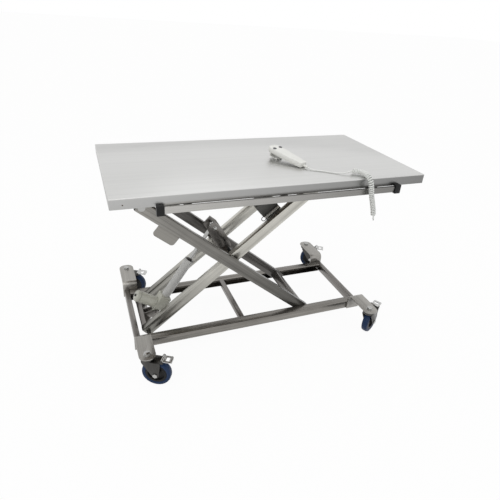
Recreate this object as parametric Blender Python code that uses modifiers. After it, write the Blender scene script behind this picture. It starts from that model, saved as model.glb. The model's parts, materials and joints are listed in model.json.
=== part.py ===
"""Veterinary examination table on a powered scissor lift, at its real size in metres.

X runs along the table and Y across it, away from the side with the accessory rail. Z is up from the floor.
"""

import math

import bmesh
import bpy
from mathutils import Matrix, Vector

# Clearances, walls and roundings that many pieces share
GAP = 0.0003
OVERRUN = 0.004
WELD_PROUD = 0.002
TUBE_WALL = 0.002
CHANNEL_WALL = 0.0025
TUBE_CORNER = 0.003
MERGE = 0.00001

# Counts of sides on round pieces
ROUND_SIDES = 20
SMALL_SIDES = 12
TYRE_STEPS = 28
HUB_STEPS = 16
SHOULDER_STEPS = 2

# Where the origin lies: the front castors reach further out than the back ones
CENTRE_SHIFT_Y = 0.012

# Scissor lift
ARM_HALF = 0.500
ARM_END = 0.015
ARM_WIDTH = 0.030
ARM_HEIGHT = 0.050
LIFT_ANGLE = math.radians(39.3)
INNER_ARM_Y = 0.107
OUTER_ARM_Y = 0.148
PIVOT_INSET = 0.125

# Shafts and rollers
PIVOT_RADIUS = 0.010
CENTRE_SHAFT_RADIUS = 0.0125
PIN_RADIUS = 0.006
COLLAR_RADIUS = 0.009
ROLLER_RADIUS = 0.017
ROLLER_WIDTH = 0.030
ROLLER_INSET_SHARE = 0.1

# Base frame
BASE_BOTTOM = 0.065
CHANNEL_SIZE = 0.040
BASE_RAIL_OUT = 0.204
BASE_LENGTH = 1.141
BASE_OVERHANG = 0.068
END_RAIL_WIDTH = 0.025
CROSS_TUBE = 0.025
CROSS_TUBE_FROM_PIVOT = 0.440

# Castor brackets
BRACKET_WIDTH = 0.070
BRACKET_PLATE = 0.005
BRACKET_TOP = 0.150
BRACKET_REACH = 0.172
BRACKET_BEND = 0.025
BRACKET_CORNER = 0.030
STEM_REACH = 0.137
STEM_INSET = {"left": 0.030, "right": 0.029}

# Castors
WHEEL_RADIUS = 0.0625
TYRE_WIDTH = 0.032
TYRE_SHOULDER = 0.008
RIM_RADIUS = 0.046
RIM_WIDTH = 0.028
HUB_WIDTH = 0.040
HUB_RADIUS = 0.013
HUB_WEB = 0.010
RIM_DEPTH = 0.010
AXLE_RADIUS = 0.005
AXLE_HEAD_RADIUS = 0.009
AXLE_HEAD = 0.005
TRAIL = 0.038
FORK_PLATE = 0.003
FORK_INSIDE = 0.022
FORK_FRONT = 0.020
FORK_BACK = 0.060
CROWN_BACK = 0.071
CROWN_BOTTOM = 0.1275
RACE_RADIUS = 0.029
UPPER_RACE_RADIUS = 0.027
RACE_SPLIT = 0.1385
KINGPIN_RADIUS = 0.006
NUT_RADIUS = 0.010
NUT_HEIGHT = 0.006
BOLT_HEAD_RADIUS = 0.012
BOLT_HEAD_HEIGHT = 0.008
AXLE_EYE_RADIUS = 0.015
LEG_SHOULDER = 0.012
SWIVEL_ANGLE = {
    ("left", "front"): math.radians(-29),
    ("left", "back"): math.radians(-28),
    ("right", "back"): math.radians(-32),
    ("right", "front"): math.radians(30),
}

# Brake pedals
PEDAL_X = 0.066
PEDAL_Z = 0.138
PEDAL_PIN_RADIUS = 0.003
PEDAL_BARREL_RADIUS = 0.0055
PEDAL_EAR = 0.003
PEDAL_WIDTH = 0.040
PEDAL_LENGTH = 0.041
PEDAL_PLATE = 0.003
PEDAL_CORNER = 0.006
PEDAL_LIP = 0.008
PEDAL_WINDOW_START = 0.015
PEDAL_WINDOW_LENGTH = 0.014
PEDAL_WINDOW_WIDTH = 0.022

# Actuator
TAIL_PIN = (0.051, -0.0206)
ROD_PIN = (-0.1222, 0.0638)
CLEVIS_LUG = 0.006
CLEVIS_RADIUS = 0.016
TAIL_LUG_Y = 0.0175
EYE_RADIUS = 0.015
EYE_WIDTH = 0.025
HOUSING_START = 0.024
HOUSING_END = 0.098
HOUSING_WIDTH = 0.060
HOUSING_LOW = -0.026
HOUSING_HIGH = 0.028
HOUSING_BEVEL = 0.005
NECK_HEIGHT = 0.028
MOTOR_RADIUS = 0.027
MOTOR_X = 0.043
MOTOR_END = 0.130
MOTOR_BEVEL = 0.006
OUTER_TUBE_RADIUS = 0.0205
OUTER_TUBE_BORE = 0.0185
OUTER_TUBE_END = 0.312
OUTER_COLLAR_RADIUS = 0.0235
OUTER_COLLAR_LENGTH = 0.016
ROD_RADIUS = 0.0095
ROD_LENGTH = 0.290
ROD_EYE_WIDTH = 0.024

# Centre tube with the actuator's upper lugs
CENTRE_TUBE_RADIUS = 0.029
CENTRE_TUBE_WALL = 0.004
CENTRE_TUBE_HALF = 0.088
CENTRE_WEB = 0.010
LUG_PLATE = 0.008
LUG_FRONT_Y = -0.030
LUG_BACK_Y = 0.035
LUG_ROOT_SHARES = ((0, -0.5), (0.333, 1.0), (0, 1.5))
LUG_BEND_SHARE = 0.333
LUG_EAR_SHARES = ((1.0, 1.4), (-1.4, 1.4), (-1.6, -1.5))

# Cross tubes, plate and box on the arms
LOWER_TUBE_INSET = 0.030
LOWER_TUBE_SIZE = 0.040
PIVOT_TUBE_WIDTH = 0.030
ARM_PLATE_START = -0.394
ARM_PLATE_END = -0.288
ARM_PLATE_DEPTH = 0.049
ARM_PLATE_THICK = 0.003
ARM_PLATE_CORNER = 0.015
BOX_LENGTH = 0.090
BOX_WIDTH = 0.080
BOX_HEIGHT = 0.069
BOX_X = 0.785
BOX_BOTTOM = 0.008
BOX_BEVEL = 0.004
BOX_STRAP = 0.003
BOX_STRAP_LENGTH = 0.086

# Top frame
TOP_CHANNEL_Y = 0.068
TOP_CHANNEL_START = 0.035
TOP_CHANNEL_INSET = 0.090
BEARER_WIDTH = 0.030
BEARER_HEIGHT = 0.060
BEARER_HALF = 0.200
BEARER_MIDDLE_X = -0.020
BEARER_INSET = 0.080
PIVOT_BEARER_HALF = 0.125
PIVOT_LUG_Y = 0.103
PIVOT_LUG = 0.006
PIVOT_LUG_LENGTH = 0.040
PIVOT_LUG_DROP = 0.020
PIVOT_HEAD = 0.003
PIVOT_HEAD_RADIUS = 0.015

# Tray and its board
TOP_LENGTH = 1.300
TOP_WIDTH = 0.650
SKIRT_HEIGHT = 0.040
SHEET = 0.0015
TRAY_LIP = 0.015
TRAY_BEND = 0.0025
BOARD_THICK = 0.029
BOARD_MARGIN = 0.002
SKIRT_HOLE_RADIUS = 0.0025
SKIRT_HOLE_INSET = 0.044
SKIRT_HOLE_DROP = 0.024

# Accessory rail
RAIL_HEIGHT = 0.025
RAIL_THICK = 0.010
RAIL_OFF_SKIRT = 0.004
RAIL_TOP_DROP = 0.0385
RAIL_LEFT_INSET = 0.164
RAIL_RIGHT_INSET = 0.136
RAIL_BRACKET_LEFT = 0.106
RAIL_BRACKET_RIGHT = 0.124
RAIL_BRACKET_WIDTH = 0.030
RAIL_BRACKET_PLATE = 0.006
RAIL_BRACKET_INSET = 0.019
RAIL_BRACKET_FLAT = 0.050
CAP_LENGTH = 0.028
CAP_HEIGHT = 0.038
CAP_DEPTH = 0.018
CAP_COVER = 0.017
CAP_BEVEL = 0.002
RAIL_END_STEP = 0.001

# Cord socket under the board
SOCKET_SIZE = 0.026
SOCKET_HEIGHT = 0.024
SOCKET_X = 0.424
SOCKET_INSET = 0.037
GLAND_RADIUS = 0.006
GLAND_LENGTH = 0.0085

# Handset
HANDSET_TAIL = (0.156, -0.147)
HANDSET_TURN = math.radians(113.1)
HANDSET_LENGTH = 0.194
HANDSET_HEAD_WIDTH = 0.060
HANDSET_TAIL_WIDTH = 0.044
HANDSET_THICK = 0.024
HANDSET_BEVEL = 0.007
HANDSET_CORNER = 0.020
HANDSET_FLARE_SHARE = 0.6
HOOK_START = 0.136
HOOK_LENGTH = 0.043
HOOK_DROP = 0.020
HOOK_STRIP = 0.003
HOOK_WIDTH = 0.036
HOOK_TIP = 0.010
RELIEF_LENGTH = 0.022
RELIEF_HEIGHT = 0.0105
RELIEF_RADIUS = 0.005
BUTTON_X = 0.158
BUTTON_Y = 0.018
BUTTON_RADIUS = 0.008
BUTTON_HEIGHT = 0.004
BUTTON_SINK = 0.0025
BUTTON_TRAVEL = 0.0012

# Cord
WIRE_RADIUS = 0.0025
CURL_RADIUS = 0.0086
CURL_PITCH = 0.0083
CURL_POINTS = 8
CORD_STEP = 0.012

LEAD_ROUTE = (
    (0.1652, -0.1685, 0.8371),
    (0.1691, -0.1776, 0.8355),
    (0.1765, -0.1875, 0.8338),
    (0.1900, -0.1965, 0.8329),
    (0.2120, -0.2090, 0.8329),
    (0.2400, -0.2300, 0.8329),
    (0.2660, -0.2490, 0.8335),
    (0.2860, -0.2590, 0.8365),
    (0.3030, -0.2622, 0.8405),
    (0.3150, -0.2622, 0.8418),
)
CURL_ROUTE = (
    (0.3150, -0.2622, 0.8418),
    (0.3270, -0.2622, 0.8431),
    (0.3440, -0.2665, 0.8427),
    (0.3575, -0.2790, 0.8422),
    (0.3620, -0.2960, 0.8422),
    (0.3610, -0.3120, 0.8424),
    (0.3590, -0.3290, 0.8412),
    (0.3585, -0.3430, 0.8340),
    (0.3600, -0.3515, 0.8205),
    (0.3635, -0.3545, 0.8030),
    (0.3720, -0.3550, 0.7700),
    (0.3860, -0.3555, 0.7300),
    (0.3960, -0.3560, 0.6980),
    (0.4040, -0.3565, 0.6680),
)
TAIL_ROUTE = (
    (0.4040, -0.3565, 0.6680),
    (0.4062, -0.3568, 0.6605),
    (0.4094, -0.3538, 0.6538),
    (0.4145, -0.3470, 0.6500),
    (0.4196, -0.3390, 0.6515),
    (0.4222, -0.3330, 0.6590),
    (0.4218, -0.3308, 0.6700),
    (0.4190, -0.3280, 0.6900),
    (0.4145, -0.3190, 0.7180),
    (0.4165, -0.3030, 0.7380),
    (0.4228, -0.2910, 0.7550),
    (0.4240, -0.2880, 0.7658),
)

SIDES = {"front": -1, "back": 1}
QUARTER = math.pi / 2

# Heights and places that follow from the sizes above
PIVOT_X = -TOP_LENGTH / 2 + PIVOT_INSET
BASE_LEFT = PIVOT_X - BASE_OVERHANG
BASE_RIGHT = BASE_LEFT + BASE_LENGTH
STEM_X = {"left": BASE_LEFT + STEM_INSET["left"], "right": BASE_RIGHT - STEM_INSET["right"]}
CROSS_TUBE_X = PIVOT_X + CROSS_TUBE_FROM_PIVOT
LOWER_TUBE_X = ARM_HALF - LOWER_TUBE_INSET
TOP_CHANNEL_LEFT = PIVOT_X + TOP_CHANNEL_START
TOP_CHANNEL_RIGHT = TOP_LENGTH / 2 - TOP_CHANNEL_INSET
BEARER_RIGHT_X = TOP_CHANNEL_RIGHT - BEARER_INSET
RAIL_LEFT = -TOP_LENGTH / 2 + RAIL_LEFT_INSET
RAIL_RIGHT = TOP_LENGTH / 2 - RAIL_RIGHT_INSET
RAIL_BRACKET_PLACES = (RAIL_LEFT + RAIL_BRACKET_LEFT, 0, RAIL_RIGHT - RAIL_BRACKET_RIGHT)
RAIL_MID_Z = BASE_BOTTOM + CHANNEL_SIZE / 2
CHANNEL_INSIDE = CHANNEL_SIZE - 2 * CHANNEL_WALL
BASE_RAIL_Y = BASE_RAIL_OUT - CHANNEL_SIZE / 2
BASE_RAIL_IN = BASE_RAIL_OUT - CHANNEL_SIZE
TOP_PIVOT_Z = RAIL_MID_Z + 2 * ARM_HALF * math.sin(LIFT_ANGLE)
BEARER_BOTTOM = TOP_PIVOT_Z + CHANNEL_SIZE / 2 + GAP
BOARD_BOTTOM = BEARER_BOTTOM + BEARER_HEIGHT + GAP
TRAY_TOP = BOARD_BOTTOM + BOARD_THICK + GAP + SHEET
RAIL_BACK_Y = -TOP_WIDTH / 2 - RAIL_OFF_SKIRT
RAIL_MID_HEIGHT = TRAY_TOP - RAIL_TOP_DROP - RAIL_HEIGHT / 2
INNER_ARM_IN = INNER_ARM_Y - ARM_WIDTH / 2
INNER_ARM_OUT = INNER_ARM_Y + ARM_WIDTH / 2
OUTER_ARM_IN = OUTER_ARM_Y - ARM_WIDTH / 2
OUTER_ARM_OUT = OUTER_ARM_Y + ARM_WIDTH / 2
ROLLER_INSET = CHANNEL_WALL + ROLLER_INSET_SHARE * CHANNEL_SIZE - GAP
BASE_ROLLER_Y = BASE_RAIL_OUT - ROLLER_INSET - ROLLER_WIDTH / 2
TOP_ROLLER_Y = TOP_CHANNEL_Y + (CHANNEL_WALL + GAP) / 2
FORK_MID_Y = FORK_INSIDE + FORK_PLATE / 2
CROWN_TOP = CROWN_BOTTOM + FORK_PLATE
HANDSET_TILT = math.atan2(HOOK_DROP, HOOK_START)


def clear_scene():
    for thing in list(bpy.data.objects):
        bpy.data.objects.remove(thing)


def new_collection(name):
    made = bpy.data.collections.new(name)
    bpy.context.scene.collection.children.link(made)
    return made


def new_material(name, colour, roughness, metallic=0.0):
    made = bpy.data.materials.new(name)
    made.use_nodes = True
    shader = made.node_tree.nodes["Principled BSDF"]
    shader.inputs["Base Color"].default_value = (*colour, 1.0)
    shader.inputs["Roughness"].default_value = roughness
    shader.inputs["Metallic"].default_value = metallic
    return made


clear_scene()
PARTS = new_collection("veterinary_table")
CUTTERS = new_collection("cutters")

SHEET_STEEL = new_material("sheet_steel", (0.62, 0.62, 0.61), 0.35, 1.0)
TUBE_STEEL = new_material("tube_steel", (0.48, 0.47, 0.45), 0.38, 1.0)
BRIGHT_STEEL = new_material("bright_steel", (0.66, 0.66, 0.65), 0.22, 1.0)
ACTUATOR_GREY = new_material("actuator_grey", (0.40, 0.40, 0.34), 0.50)
BLACK_PLASTIC = new_material("black_plastic", (0.02, 0.02, 0.02), 0.45)
BLUE_TYRE = new_material("blue_tyre", (0.02, 0.04, 0.11), 0.60)
BOARD_BROWN = new_material("board_brown", (0.30, 0.20, 0.11), 0.75)
HANDSET_WHITE = new_material("handset_white", (0.72, 0.72, 0.70), 0.40)
BUTTON_GREY = new_material("button_grey", (0.08, 0.08, 0.09), 0.50)


def new_empty(name, parent, at, turn=(0, 0, 0)):
    made = bpy.data.objects.new(name, None)
    PARTS.objects.link(made)
    made.parent = parent
    made.location = at
    made.rotation_euler = turn
    return made


def put(name, mesh, material, parent, at=(0, 0, 0), turn=(0, 0, 0)):
    """A sub-part's object, with its material, at its place under its parent."""
    made = bpy.data.objects.new(name, mesh)
    PARTS.objects.link(made)
    mesh.materials.append(material)
    made.parent = parent
    made.location = at
    made.rotation_euler = turn
    return made


def to_mesh(name, bm):
    bmesh.ops.recalc_face_normals(bm, faces=bm.faces)
    mesh = bpy.data.meshes.new(name)
    bm.to_mesh(mesh)
    bm.free()
    mesh.shade_smooth()
    mesh.set_sharp_from_angle(angle=math.radians(35))
    return mesh


def box(size, at=(0, 0, 0), bevel=0):
    bm = bmesh.new()
    bmesh.ops.create_cube(bm, size=1)
    bmesh.ops.scale(bm, vec=size, verts=bm.verts)
    if bevel:
        bmesh.ops.bevel(bm, geom=bm.edges[:], offset=bevel, segments=2, affect="EDGES", profile=0.5)
    bmesh.ops.translate(bm, vec=at, verts=bm.verts)
    return bm


def drum(radius, start, end, axis="Y", at=(0, 0), sides=SMALL_SIDES):
    """A cylinder from start to end along an axis; at is its place on the other two axes, in order."""
    bm = bmesh.new()
    bmesh.ops.create_cone(
        bm, cap_ends=True, segments=sides, radius1=radius, radius2=radius, depth=abs(end - start)
    )
    middle = (start + end) / 2
    if axis == "Y":
        bm.transform(Matrix.Translation((at[0], middle, at[1])) @ Matrix.Rotation(QUARTER, 4, "X"))
    elif axis == "X":
        bm.transform(Matrix.Translation((middle, at[0], at[1])) @ Matrix.Rotation(QUARTER, 4, "Y"))
    else:
        bm.transform(Matrix.Translation((at[0], at[1], middle)))
    return bm


def arc(centre, radius, start, end, steps):
    """Points along an arc, with its angles in degrees."""
    angles = [math.radians(start + (end - start) * i / steps) for i in range(steps + 1)]
    return [(centre[0] + radius * math.cos(a), centre[1] + radius * math.sin(a)) for a in angles]


def outline_plate(points, thickness, matrix=None):
    """A closed plate from a flat outline, in its XY plane until the matrix turns it."""
    curve = bpy.data.curves.new("outline", "CURVE")
    curve.dimensions = "2D"
    curve.fill_mode = "BOTH"
    curve.extrude = thickness / 2
    spline = curve.splines.new("POLY")
    spline.points.add(len(points) - 1)
    for point, (x, y) in zip(spline.points, points):
        point.co = (x, y, 0, 1)
    spline.use_cyclic_u = True
    holder = bpy.data.objects.new("outline", curve)
    CUTTERS.objects.link(holder)
    evaluated = holder.evaluated_get(bpy.context.evaluated_depsgraph_get())
    mesh = bpy.data.meshes.new_from_object(evaluated)
    bpy.data.objects.remove(holder)
    bm = bmesh.new()
    bm.from_mesh(mesh)
    bmesh.ops.remove_doubles(bm, verts=bm.verts, dist=MERGE)
    if matrix:
        bm.transform(matrix)
    return bm


def upright(offset=0.0):
    """Turns an outline's plane to XZ, its thickness along Y about the offset."""
    return Matrix.Translation((0, offset, 0)) @ Matrix.Rotation(QUARTER, 4, "X")


def boolean(target, bm, operation):
    """Joins a shape, given in the target's own frame, to the target, or cuts it out."""
    helper = bpy.data.objects.new(f"{target.name}_{operation.lower()}", to_mesh("helper", bm))
    CUTTERS.objects.link(helper)
    helper.parent = target
    helper.hide_render = True
    helper.display_type = "WIRE"
    modifier = target.modifiers.new(operation.lower(), "BOOLEAN")
    modifier.operation = operation
    modifier.solver = "EXACT"
    modifier.object = helper


def join(target, *shapes):
    for shape in shapes:
        boolean(target, shape, "UNION")


def cut(target, *shapes):
    for shape in shapes:
        boolean(target, shape, "DIFFERENCE")


def solidify(target, thickness):
    modifier = target.modifiers.new("wall", "SOLIDIFY")
    modifier.thickness = thickness
    modifier.offset = -1
    modifier.use_even_offset = True


def hollow_bar(name, size, wall, material, parent, at, turn=(0, 0, 0), mouth=0):
    """A hollow bar along X with open ends; mouth opens its +Y or -Y side too, which makes a channel."""
    bm = bmesh.new()
    bmesh.ops.create_cube(bm, size=1)
    bmesh.ops.scale(bm, vec=size, verts=bm.verts)
    bm.normal_update()
    opened = [f for f in bm.faces if abs(f.normal.x) > 0.5 or (mouth and f.normal.y * mouth > 0.5)]
    bmesh.ops.delete(bm, geom=opened, context="FACES_ONLY")
    corners = [
        e
        for e in bm.edges
        if len(e.link_faces) == 2 and abs(e.verts[0].co.x - e.verts[1].co.x) > size[0] / 2
    ]
    bmesh.ops.bevel(bm, geom=corners, offset=TUBE_CORNER, segments=2, affect="EDGES", profile=0.5)
    mesh = bpy.data.meshes.new(name)
    bm.to_mesh(mesh)
    bm.free()
    bar = put(name, mesh, material, parent, at, turn)
    solidify(bar, wall)
    return bar


def turned(name, profile, steps, material, parent, at=(0, 0, 0), turn=(0, 0, 0), ring=False):
    """A turned piece about local Z; the profile runs down its outer side, and a ring's closes on itself."""
    mesh = bpy.data.meshes.new(name)
    edges = [(i, i + 1) for i in range(len(profile) - 1)]
    if ring:
        edges.append((len(profile) - 1, 0))
    mesh.from_pydata([(x, 0, z) for x, z in profile], edges, [])
    made = put(name, mesh, material, parent, at, turn)
    screw = made.modifiers.new("turn", "SCREW")
    screw.steps = steps
    screw.render_steps = steps
    screw.use_merge_vertices = True
    screw.merge_threshold = MERGE
    screw.use_smooth_shade = True
    return made


TO_Y = (-QUARTER, 0, 0)
TO_X = (0, QUARTER, 0)
CROSSWISE = (0, 0, QUARTER)


def base_rails(root):
    left = BASE_LEFT + END_RAIL_WIDTH + GAP
    right = BASE_RIGHT - END_RAIL_WIDTH - GAP
    for name, side in SIDES.items():
        hollow_bar(
            f"base_rail_{name}", (right - left, CHANNEL_SIZE, CHANNEL_SIZE), CHANNEL_WALL, TUBE_STEEL,
            root, ((left + right) / 2, side * BASE_RAIL_Y, RAIL_MID_Z), mouth=-side,
        )


def base_end_rails(root):
    for name, x in (
        ("left", BASE_LEFT + END_RAIL_WIDTH / 2),
        ("right", BASE_RIGHT - END_RAIL_WIDTH / 2),
    ):
        hollow_bar(
            f"base_end_rail_{name}", (2 * BASE_RAIL_OUT, END_RAIL_WIDTH, CHANNEL_SIZE), TUBE_WALL,
            TUBE_STEEL, root, (x, 0, RAIL_MID_Z), CROSSWISE,
        )


def base_cross_tube(root):
    top = BASE_BOTTOM + CHANNEL_SIZE
    hollow_bar(
        "base_cross_tube", (2 * (BASE_RAIL_IN - GAP), CROSS_TUBE, CROSS_TUBE), TUBE_WALL,
        TUBE_STEEL, root, (CROSS_TUBE_X, 0, top - CROSS_TUBE / 2), CROSSWISE,
    )


def base_pivot_shaft(root):
    """The fixed shaft of the inner arms, held in a block inside each base rail."""
    block = CHANNEL_INSIDE - 2 * GAP
    block_out = BASE_RAIL_OUT - CHANNEL_WALL - GAP
    block_mid = (block_out + BASE_RAIL_IN) / 2
    block_width = block_out - BASE_RAIL_IN
    shape = drum(PIVOT_RADIUS, -block_mid, block_mid, sides=ROUND_SIDES)
    place = (PIVOT_X, 0, RAIL_MID_Z)
    shaft = put("base_pivot_shaft", to_mesh("base_pivot_shaft", shape), BRIGHT_STEEL, root, place)
    for side in SIDES.values():
        join(shaft, box((block, block_width, block), (0, side * block_mid, 0)))


def bracket_profile():
    """Side view of the bent plate, from the rail's outer face outwards."""
    inner = BRACKET_BEND - BRACKET_PLATE
    corner = (GAP + BRACKET_BEND, BRACKET_TOP - BRACKET_BEND)
    return [
        (GAP, BASE_BOTTOM),
        *arc(corner, BRACKET_BEND, 180, 90, 6),
        (BRACKET_REACH, BRACKET_TOP),
        (BRACKET_REACH, BRACKET_TOP - BRACKET_PLATE),
        *arc(corner, inner, 90, 180, 6),
        (GAP + BRACKET_PLATE, BASE_BOTTOM),
    ]


def bracket_plan():
    """Plan of the bent plate, with its outer corners rounded."""
    half = BRACKET_WIDTH / 2
    far = BRACKET_REACH - BRACKET_CORNER
    side = half - BRACKET_CORNER
    return [
        (-OVERRUN, -half),
        *arc((far, -side), BRACKET_CORNER, -90, 0, 6),
        *arc((far, side), BRACKET_CORNER, 0, 90, 6),
        (-OVERRUN, half),
    ]


def castor_brackets(root):
    """Bent plates on the base rails, each with the castor's bolt, upper race and nut."""
    for end, x in STEM_X.items():
        for name, side in SIDES.items():
            shape = outline_plate(bracket_profile(), BRACKET_WIDTH, upright())
            title = f"castor_bracket_{name}_{end}"
            bracket = put(
                title, to_mesh(title, shape), TUBE_STEEL, root,
                (x, side * BASE_RAIL_OUT, 0), (0, 0, side * QUARTER),
            )
            lift = Matrix.Translation((0, 0, BRACKET_TOP / 2))
            boolean(bracket, outline_plate(bracket_plan(), 2 * BRACKET_TOP, lift), "INTERSECT")
            stem = (STEM_REACH, 0)
            under = BRACKET_TOP - BRACKET_PLATE / 2
            nut_top = CROWN_BOTTOM - GAP
            join(
                bracket,
                drum(UPPER_RACE_RADIUS, RACE_SPLIT + GAP, under, "Z", stem, ROUND_SIDES),
                drum(KINGPIN_RADIUS, nut_top - NUT_HEIGHT / 2, under, "Z", stem),
                drum(NUT_RADIUS, nut_top - NUT_HEIGHT, nut_top, "Z", stem, 6),
                drum(BOLT_HEAD_RADIUS, under, BRACKET_TOP + BOLT_HEAD_HEIGHT, "Z", stem, 6),
            )


def fork_leg_outline():
    """Side view of one fork leg, from the crown down round the axle."""
    axle = (TRAIL, WHEEL_RADIUS)
    front = FORK_FRONT - FORK_PLATE / 2
    return [
        (-front, CROWN_TOP - FORK_PLATE / 2),
        (-front, CROWN_BOTTOM - LEG_SHOULDER / 2),
        *arc(axle, AXLE_EYE_RADIUS, 205, 355, 7),
        (FORK_BACK, CROWN_BOTTOM - LEG_SHOULDER),
        (FORK_BACK, CROWN_TOP - FORK_PLATE / 2),
    ]


def pedal_ear_outline():
    return [
        (PEDAL_X - 2 * PEDAL_BARREL_RADIUS, CROWN_BOTTOM + FORK_PLATE / 2),
        (PEDAL_X + PEDAL_BARREL_RADIUS / 2, CROWN_BOTTOM + FORK_PLATE / 2),
        *arc((PEDAL_X, PEDAL_Z), PEDAL_BARREL_RADIUS, 0, 150, 6),
    ]


def castor_fork(title, swivel):
    crown_length = FORK_FRONT + CROWN_BACK
    crown = box(
        (crown_length, 2 * FORK_MID_Y, FORK_PLATE),
        (CROWN_BACK - crown_length / 2, 0, CROWN_BOTTOM + FORK_PLATE / 2),
    )
    fork = put(title, to_mesh(title, crown), BRIGHT_STEEL, swivel)
    join(fork, drum(RACE_RADIUS, CROWN_BOTTOM + FORK_PLATE / 4, RACE_SPLIT, "Z", sides=ROUND_SIDES))
    ear_y = PEDAL_WIDTH / 2 + GAP + PEDAL_EAR / 2
    for side in SIDES.values():
        join(
            fork,
            outline_plate(fork_leg_outline(), FORK_PLATE, upright(side * FORK_MID_Y)),
            outline_plate(pedal_ear_outline(), PEDAL_EAR, upright(side * ear_y)),
        )
    head = FORK_INSIDE + FORK_PLATE
    join(fork, drum(AXLE_RADIUS, -head, head, "Y", (TRAIL, WHEEL_RADIUS)))
    for side in SIDES.values():
        join(fork, drum(AXLE_HEAD_RADIUS, side * (head - FORK_PLATE / 2), side * (head + AXLE_HEAD), "Y",
                        (TRAIL, WHEEL_RADIUS)))
    join(fork, drum(PEDAL_PIN_RADIUS, -ear_y, ear_y, "Y", (PEDAL_X, PEDAL_Z)))
    cut(fork, drum(KINGPIN_RADIUS + GAP, CROWN_BOTTOM - OVERRUN, RACE_SPLIT + OVERRUN, "Z"))


def castor_tyre(title, wheel):
    half = TYRE_WIDTH / 2
    bore = RIM_RADIUS + GAP
    side = half - TYRE_SHOULDER
    far = WHEEL_RADIUS - TYRE_SHOULDER
    profile = [
        (bore, RIM_WIDTH / 2),
        *arc((far, side), TYRE_SHOULDER, 90, 0, SHOULDER_STEPS),
        *arc((far, -side), TYRE_SHOULDER, 0, -90, SHOULDER_STEPS),
        (bore, -RIM_WIDTH / 2),
    ]
    turned(title, profile, TYRE_STEPS, BLUE_TYRE, wheel, turn=TO_Y, ring=True)


def castor_hub(title, wheel):
    boss = HUB_WIDTH / 2
    web = HUB_WEB / 2
    rim = RIM_WIDTH / 2
    inside = RIM_RADIUS - RIM_DEPTH
    bore = AXLE_RADIUS + GAP
    upper = [
        (bore, boss), (HUB_RADIUS, boss), (HUB_RADIUS, web),
        (inside, web), (inside, rim), (RIM_RADIUS, rim),
    ]
    profile = upper + [(x, -z) for x, z in reversed(upper)]
    turned(title, profile, HUB_STEPS, BLACK_PLASTIC, wheel, turn=TO_Y, ring=True)


def pedal_outline():
    """Plan of the tread, from the barrel out to its two rounded corners."""
    half = PEDAL_WIDTH / 2
    end = PEDAL_LENGTH - PEDAL_CORNER
    side = half - PEDAL_CORNER
    return [
        (0, -half),
        *arc((end, -side), PEDAL_CORNER, -90, 0, 4),
        *arc((end, side), PEDAL_CORNER, 0, 90, 4),
        (0, half),
    ]


def brake_pedal(title, hinge):
    """The tread with its window and turned down lip, on a barrel round the fork's pin."""
    half = PEDAL_WIDTH / 2
    barrel = drum(PEDAL_BARREL_RADIUS, -half, half)
    pedal = put(title, to_mesh(title, barrel), BRIGHT_STEEL, hinge)
    lip_size = (PEDAL_PLATE, PEDAL_WIDTH - 2 * PEDAL_CORNER, PEDAL_LIP)
    lip_x = PEDAL_LENGTH - PEDAL_PLATE / 2
    join(pedal, outline_plate(pedal_outline(), PEDAL_PLATE), box(lip_size, (lip_x, 0, -PEDAL_LIP / 2)))
    window_x = PEDAL_WINDOW_START + PEDAL_WINDOW_LENGTH / 2
    window = box((PEDAL_WINDOW_LENGTH, PEDAL_WINDOW_WIDTH, 2 * PEDAL_LIP), (window_x, 0, 0))
    cut(pedal, window, drum(PEDAL_PIN_RADIUS + GAP, -half - OVERRUN, half + OVERRUN))


def castors(root):
    for end, x in STEM_X.items():
        for name, side in SIDES.items():
            place = f"{name}_{end}"
            stem_y = side * (BASE_RAIL_OUT + STEM_REACH)
            angle = SWIVEL_ANGLE[(end, name)]
            swivel = new_empty(f"swivel_{place}", root, (x, stem_y, 0), (0, 0, angle))
            wheel = new_empty(f"wheel_{place}", swivel, (TRAIL, 0, WHEEL_RADIUS))
            hinge = new_empty(f"pedal_hinge_{place}", swivel, (PEDAL_X, 0, PEDAL_Z))
            castor_fork(f"castor_fork_{place}", swivel)
            castor_tyre(f"castor_tyre_{place}", wheel)
            castor_hub(f"castor_hub_{place}", wheel)
            brake_pedal(f"brake_pedal_{place}", hinge)


def roller_pin(arm, x, start, collar_end, end):
    """A pin through the arm's tube, with a collar that spaces the roller off the arm."""
    join(arm, drum(PIN_RADIUS, start, end, "Y", (x, 0)))
    join(arm, drum(COLLAR_RADIUS, start, collar_end, "Y", (x, 0)))


def inner_arms(inner):
    for name, side in SIDES.items():
        arm = hollow_bar(
            f"inner_arm_{name}", (2 * (ARM_HALF + ARM_END), ARM_WIDTH, ARM_HEIGHT), TUBE_WALL,
            TUBE_STEEL, inner, (ARM_HALF, side * INNER_ARM_Y, 0),
        )
        reach = ARM_WIDTH / 2 + OVERRUN
        cut(arm, drum(PIVOT_RADIUS + GAP, -reach, reach, "Y", (-ARM_HALF, 0), ROUND_SIDES))
        cut(arm, drum(CENTRE_SHAFT_RADIUS + GAP, -reach, reach, "Y", (0, 0), ROUND_SIDES))
        start = side * (INNER_ARM_OUT + WELD_PROUD - INNER_ARM_Y)
        collar_end = side * (TOP_ROLLER_Y + ROLLER_WIDTH / 2 + GAP - INNER_ARM_Y)
        end = side * (TOP_CHANNEL_Y - CHANNEL_SIZE / 2 + 2 * CHANNEL_WALL - INNER_ARM_Y)
        roller_pin(arm, ARM_HALF, start, collar_end, end)


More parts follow.
